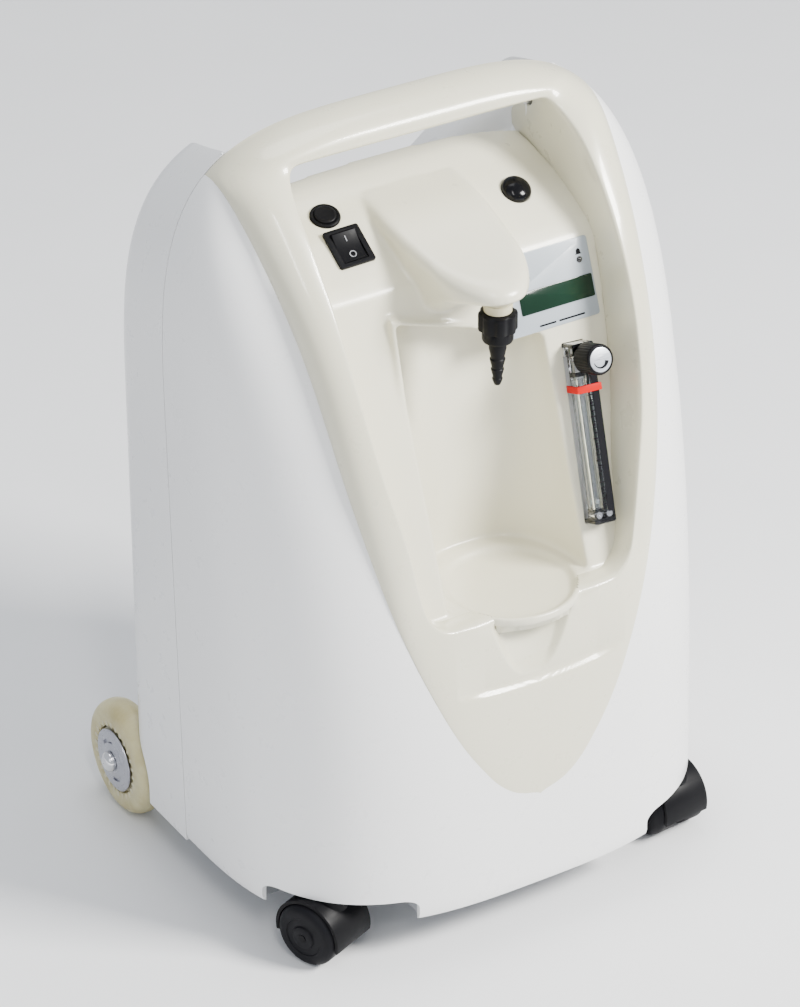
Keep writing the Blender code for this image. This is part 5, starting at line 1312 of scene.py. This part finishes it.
bevel(inlet, 0.4, 3, 50)
freeze(inlet, 35)
show(inlet, "power_inlet")
pins = [slab("pin", rect(px, pz, 2.0, 4.0, 0.5, 3), on_rear(-112, 96), XAX, ZAX, BACK, -19.0, -3.0, "chrome", smooth=None) for px, pz in ((-7.0, -2.0), (7.0, -2.0), (0.0, 2.6))]
show(join("inlet_pins", pins), body="cabinet")

# ---------------------------------------------------------------- pieces kept from the frame
KEEP = {"base_tray": "tray", "filter_foam": "foam", "rear_axle": "steel", "compressor_motor": "alloy", "fan_frame": "black", "fan_rotor": "black", "sieve_bed_l": "alloy", "sieve_bed_r": "alloy", "valve_block": "alloy", "product_tank": "shell", "control_board": "board", "cooling_coil": "copper", "product_hose": "hose", "caster_stem_l": "steel", "caster_stem_r": "steel", "caster_axle_l": "black", "caster_axle_r": "black", "isolation_mount_1": "rubber", "isolation_mount_2": "rubber", "isolation_mount_3": "rubber", "isolation_mount_4": "rubber"}
for name, key in KEEP.items():
    obj = NODES[name]
    obj.data.materials.clear()
    obj.data.materials.append(MAT[key])

for obj in TEMP:
    bpy.data.objects.remove(obj)

# ---------------------------------------------------------------- floor, lights, camera
fm = bpy.data.meshes.new("floor")
fm.from_pydata([(-6, -6, 0), (6, -6, 0), (6, 6, 0), (-6, 6, 0)], [], [(0, 1, 2, 3)])
floor = bpy.data.objects.new("floor", fm)
SCENE.collection.objects.link(floor)
fm.materials.append(moulded("mat_floor", (0.80, 0.805, 0.815), 0.55, grain=0.0, vary=0.01, spec=0.15))

world = bpy.data.worlds.new("studio")
SCENE.world = world
world.use_nodes = True
world.node_tree.nodes["Background"].inputs[0].default_value = (0.82, 0.86, 0.92, 1)
world.node_tree.nodes["Background"].inputs[1].default_value = 0.84


def area(name, loc, target, size, power, color=(1, 1, 1), size_y=None):
    light = bpy.data.lights.new(name, "AREA")
    light.shape = "RECTANGLE" if size_y else "SQUARE"
    light.size = size
    if size_y:
        light.size_y = size_y
    light.energy = power
    light.color = color
    obj = bpy.data.objects.new(name, light)
    SCENE.collection.objects.link(obj)
    obj.location = loc
    obj.rotation_euler = (Vector(target) - Vector(loc)).to_track_quat("-Z", "Y").to_euler()
    return obj


area("key", (1.5, -1.75, 2.0), (0, 0, 0.3), 0.8, 225, (1.0, 0.985, 0.95))
area("strip", (-0.75, -1.5, 2.3), (0, 0, 0.45), 0.22, 20, (1.0, 0.99, 0.97), 1.2)
area("fill", (-2.4, -1.2, 1.6), (0, 0, 0.3), 1.6, 10, (0.92, 0.96, 1.0))
area("top", (0.3, 0.6, 2.6), (0, 0, 0.4), 1.2, 22, (0.98, 0.99, 1.0))

th, e, ro, f, dist, tx, ty = 0.5512, 0.5416, -0.0049, 4224.7158, 3072.518, 444.462, 495.4504
F = np.array([math.sin(th) * math.cos(e), math.cos(th) * math.cos(e), -math.sin(e)])
R = np.array([math.cos(th), -math.sin(th), 0.0])
UP = np.cross(R, F)
R2 = math.cos(ro) * R + math.sin(ro) * UP
U2 = -math.sin(ro) * R + math.cos(ro) * UP
C = np.array([0, -DATUM_Y, 300.0]) - (tx - 400) / f * dist * R2 + (ty - 503.5) / f * dist * U2 - dist * F
cam_data = bpy.data.cameras.new("camera")
cam = bpy.data.objects.new("camera", cam_data)
SCENE.collection.objects.link(cam)
cam.matrix_world = Matrix(((R2[0], U2[0], -F[0], C[0] / 1000), (R2[1], U2[1], -F[1], C[1] / 1000), (R2[2], U2[2], -F[2], C[2] / 1000), (0, 0, 0, 1)))
cam_data.sensor_width = 36.0
cam_data.lens = f / 1007 * 36.0
cam_data.clip_start = 0.05
SCENE.camera = cam
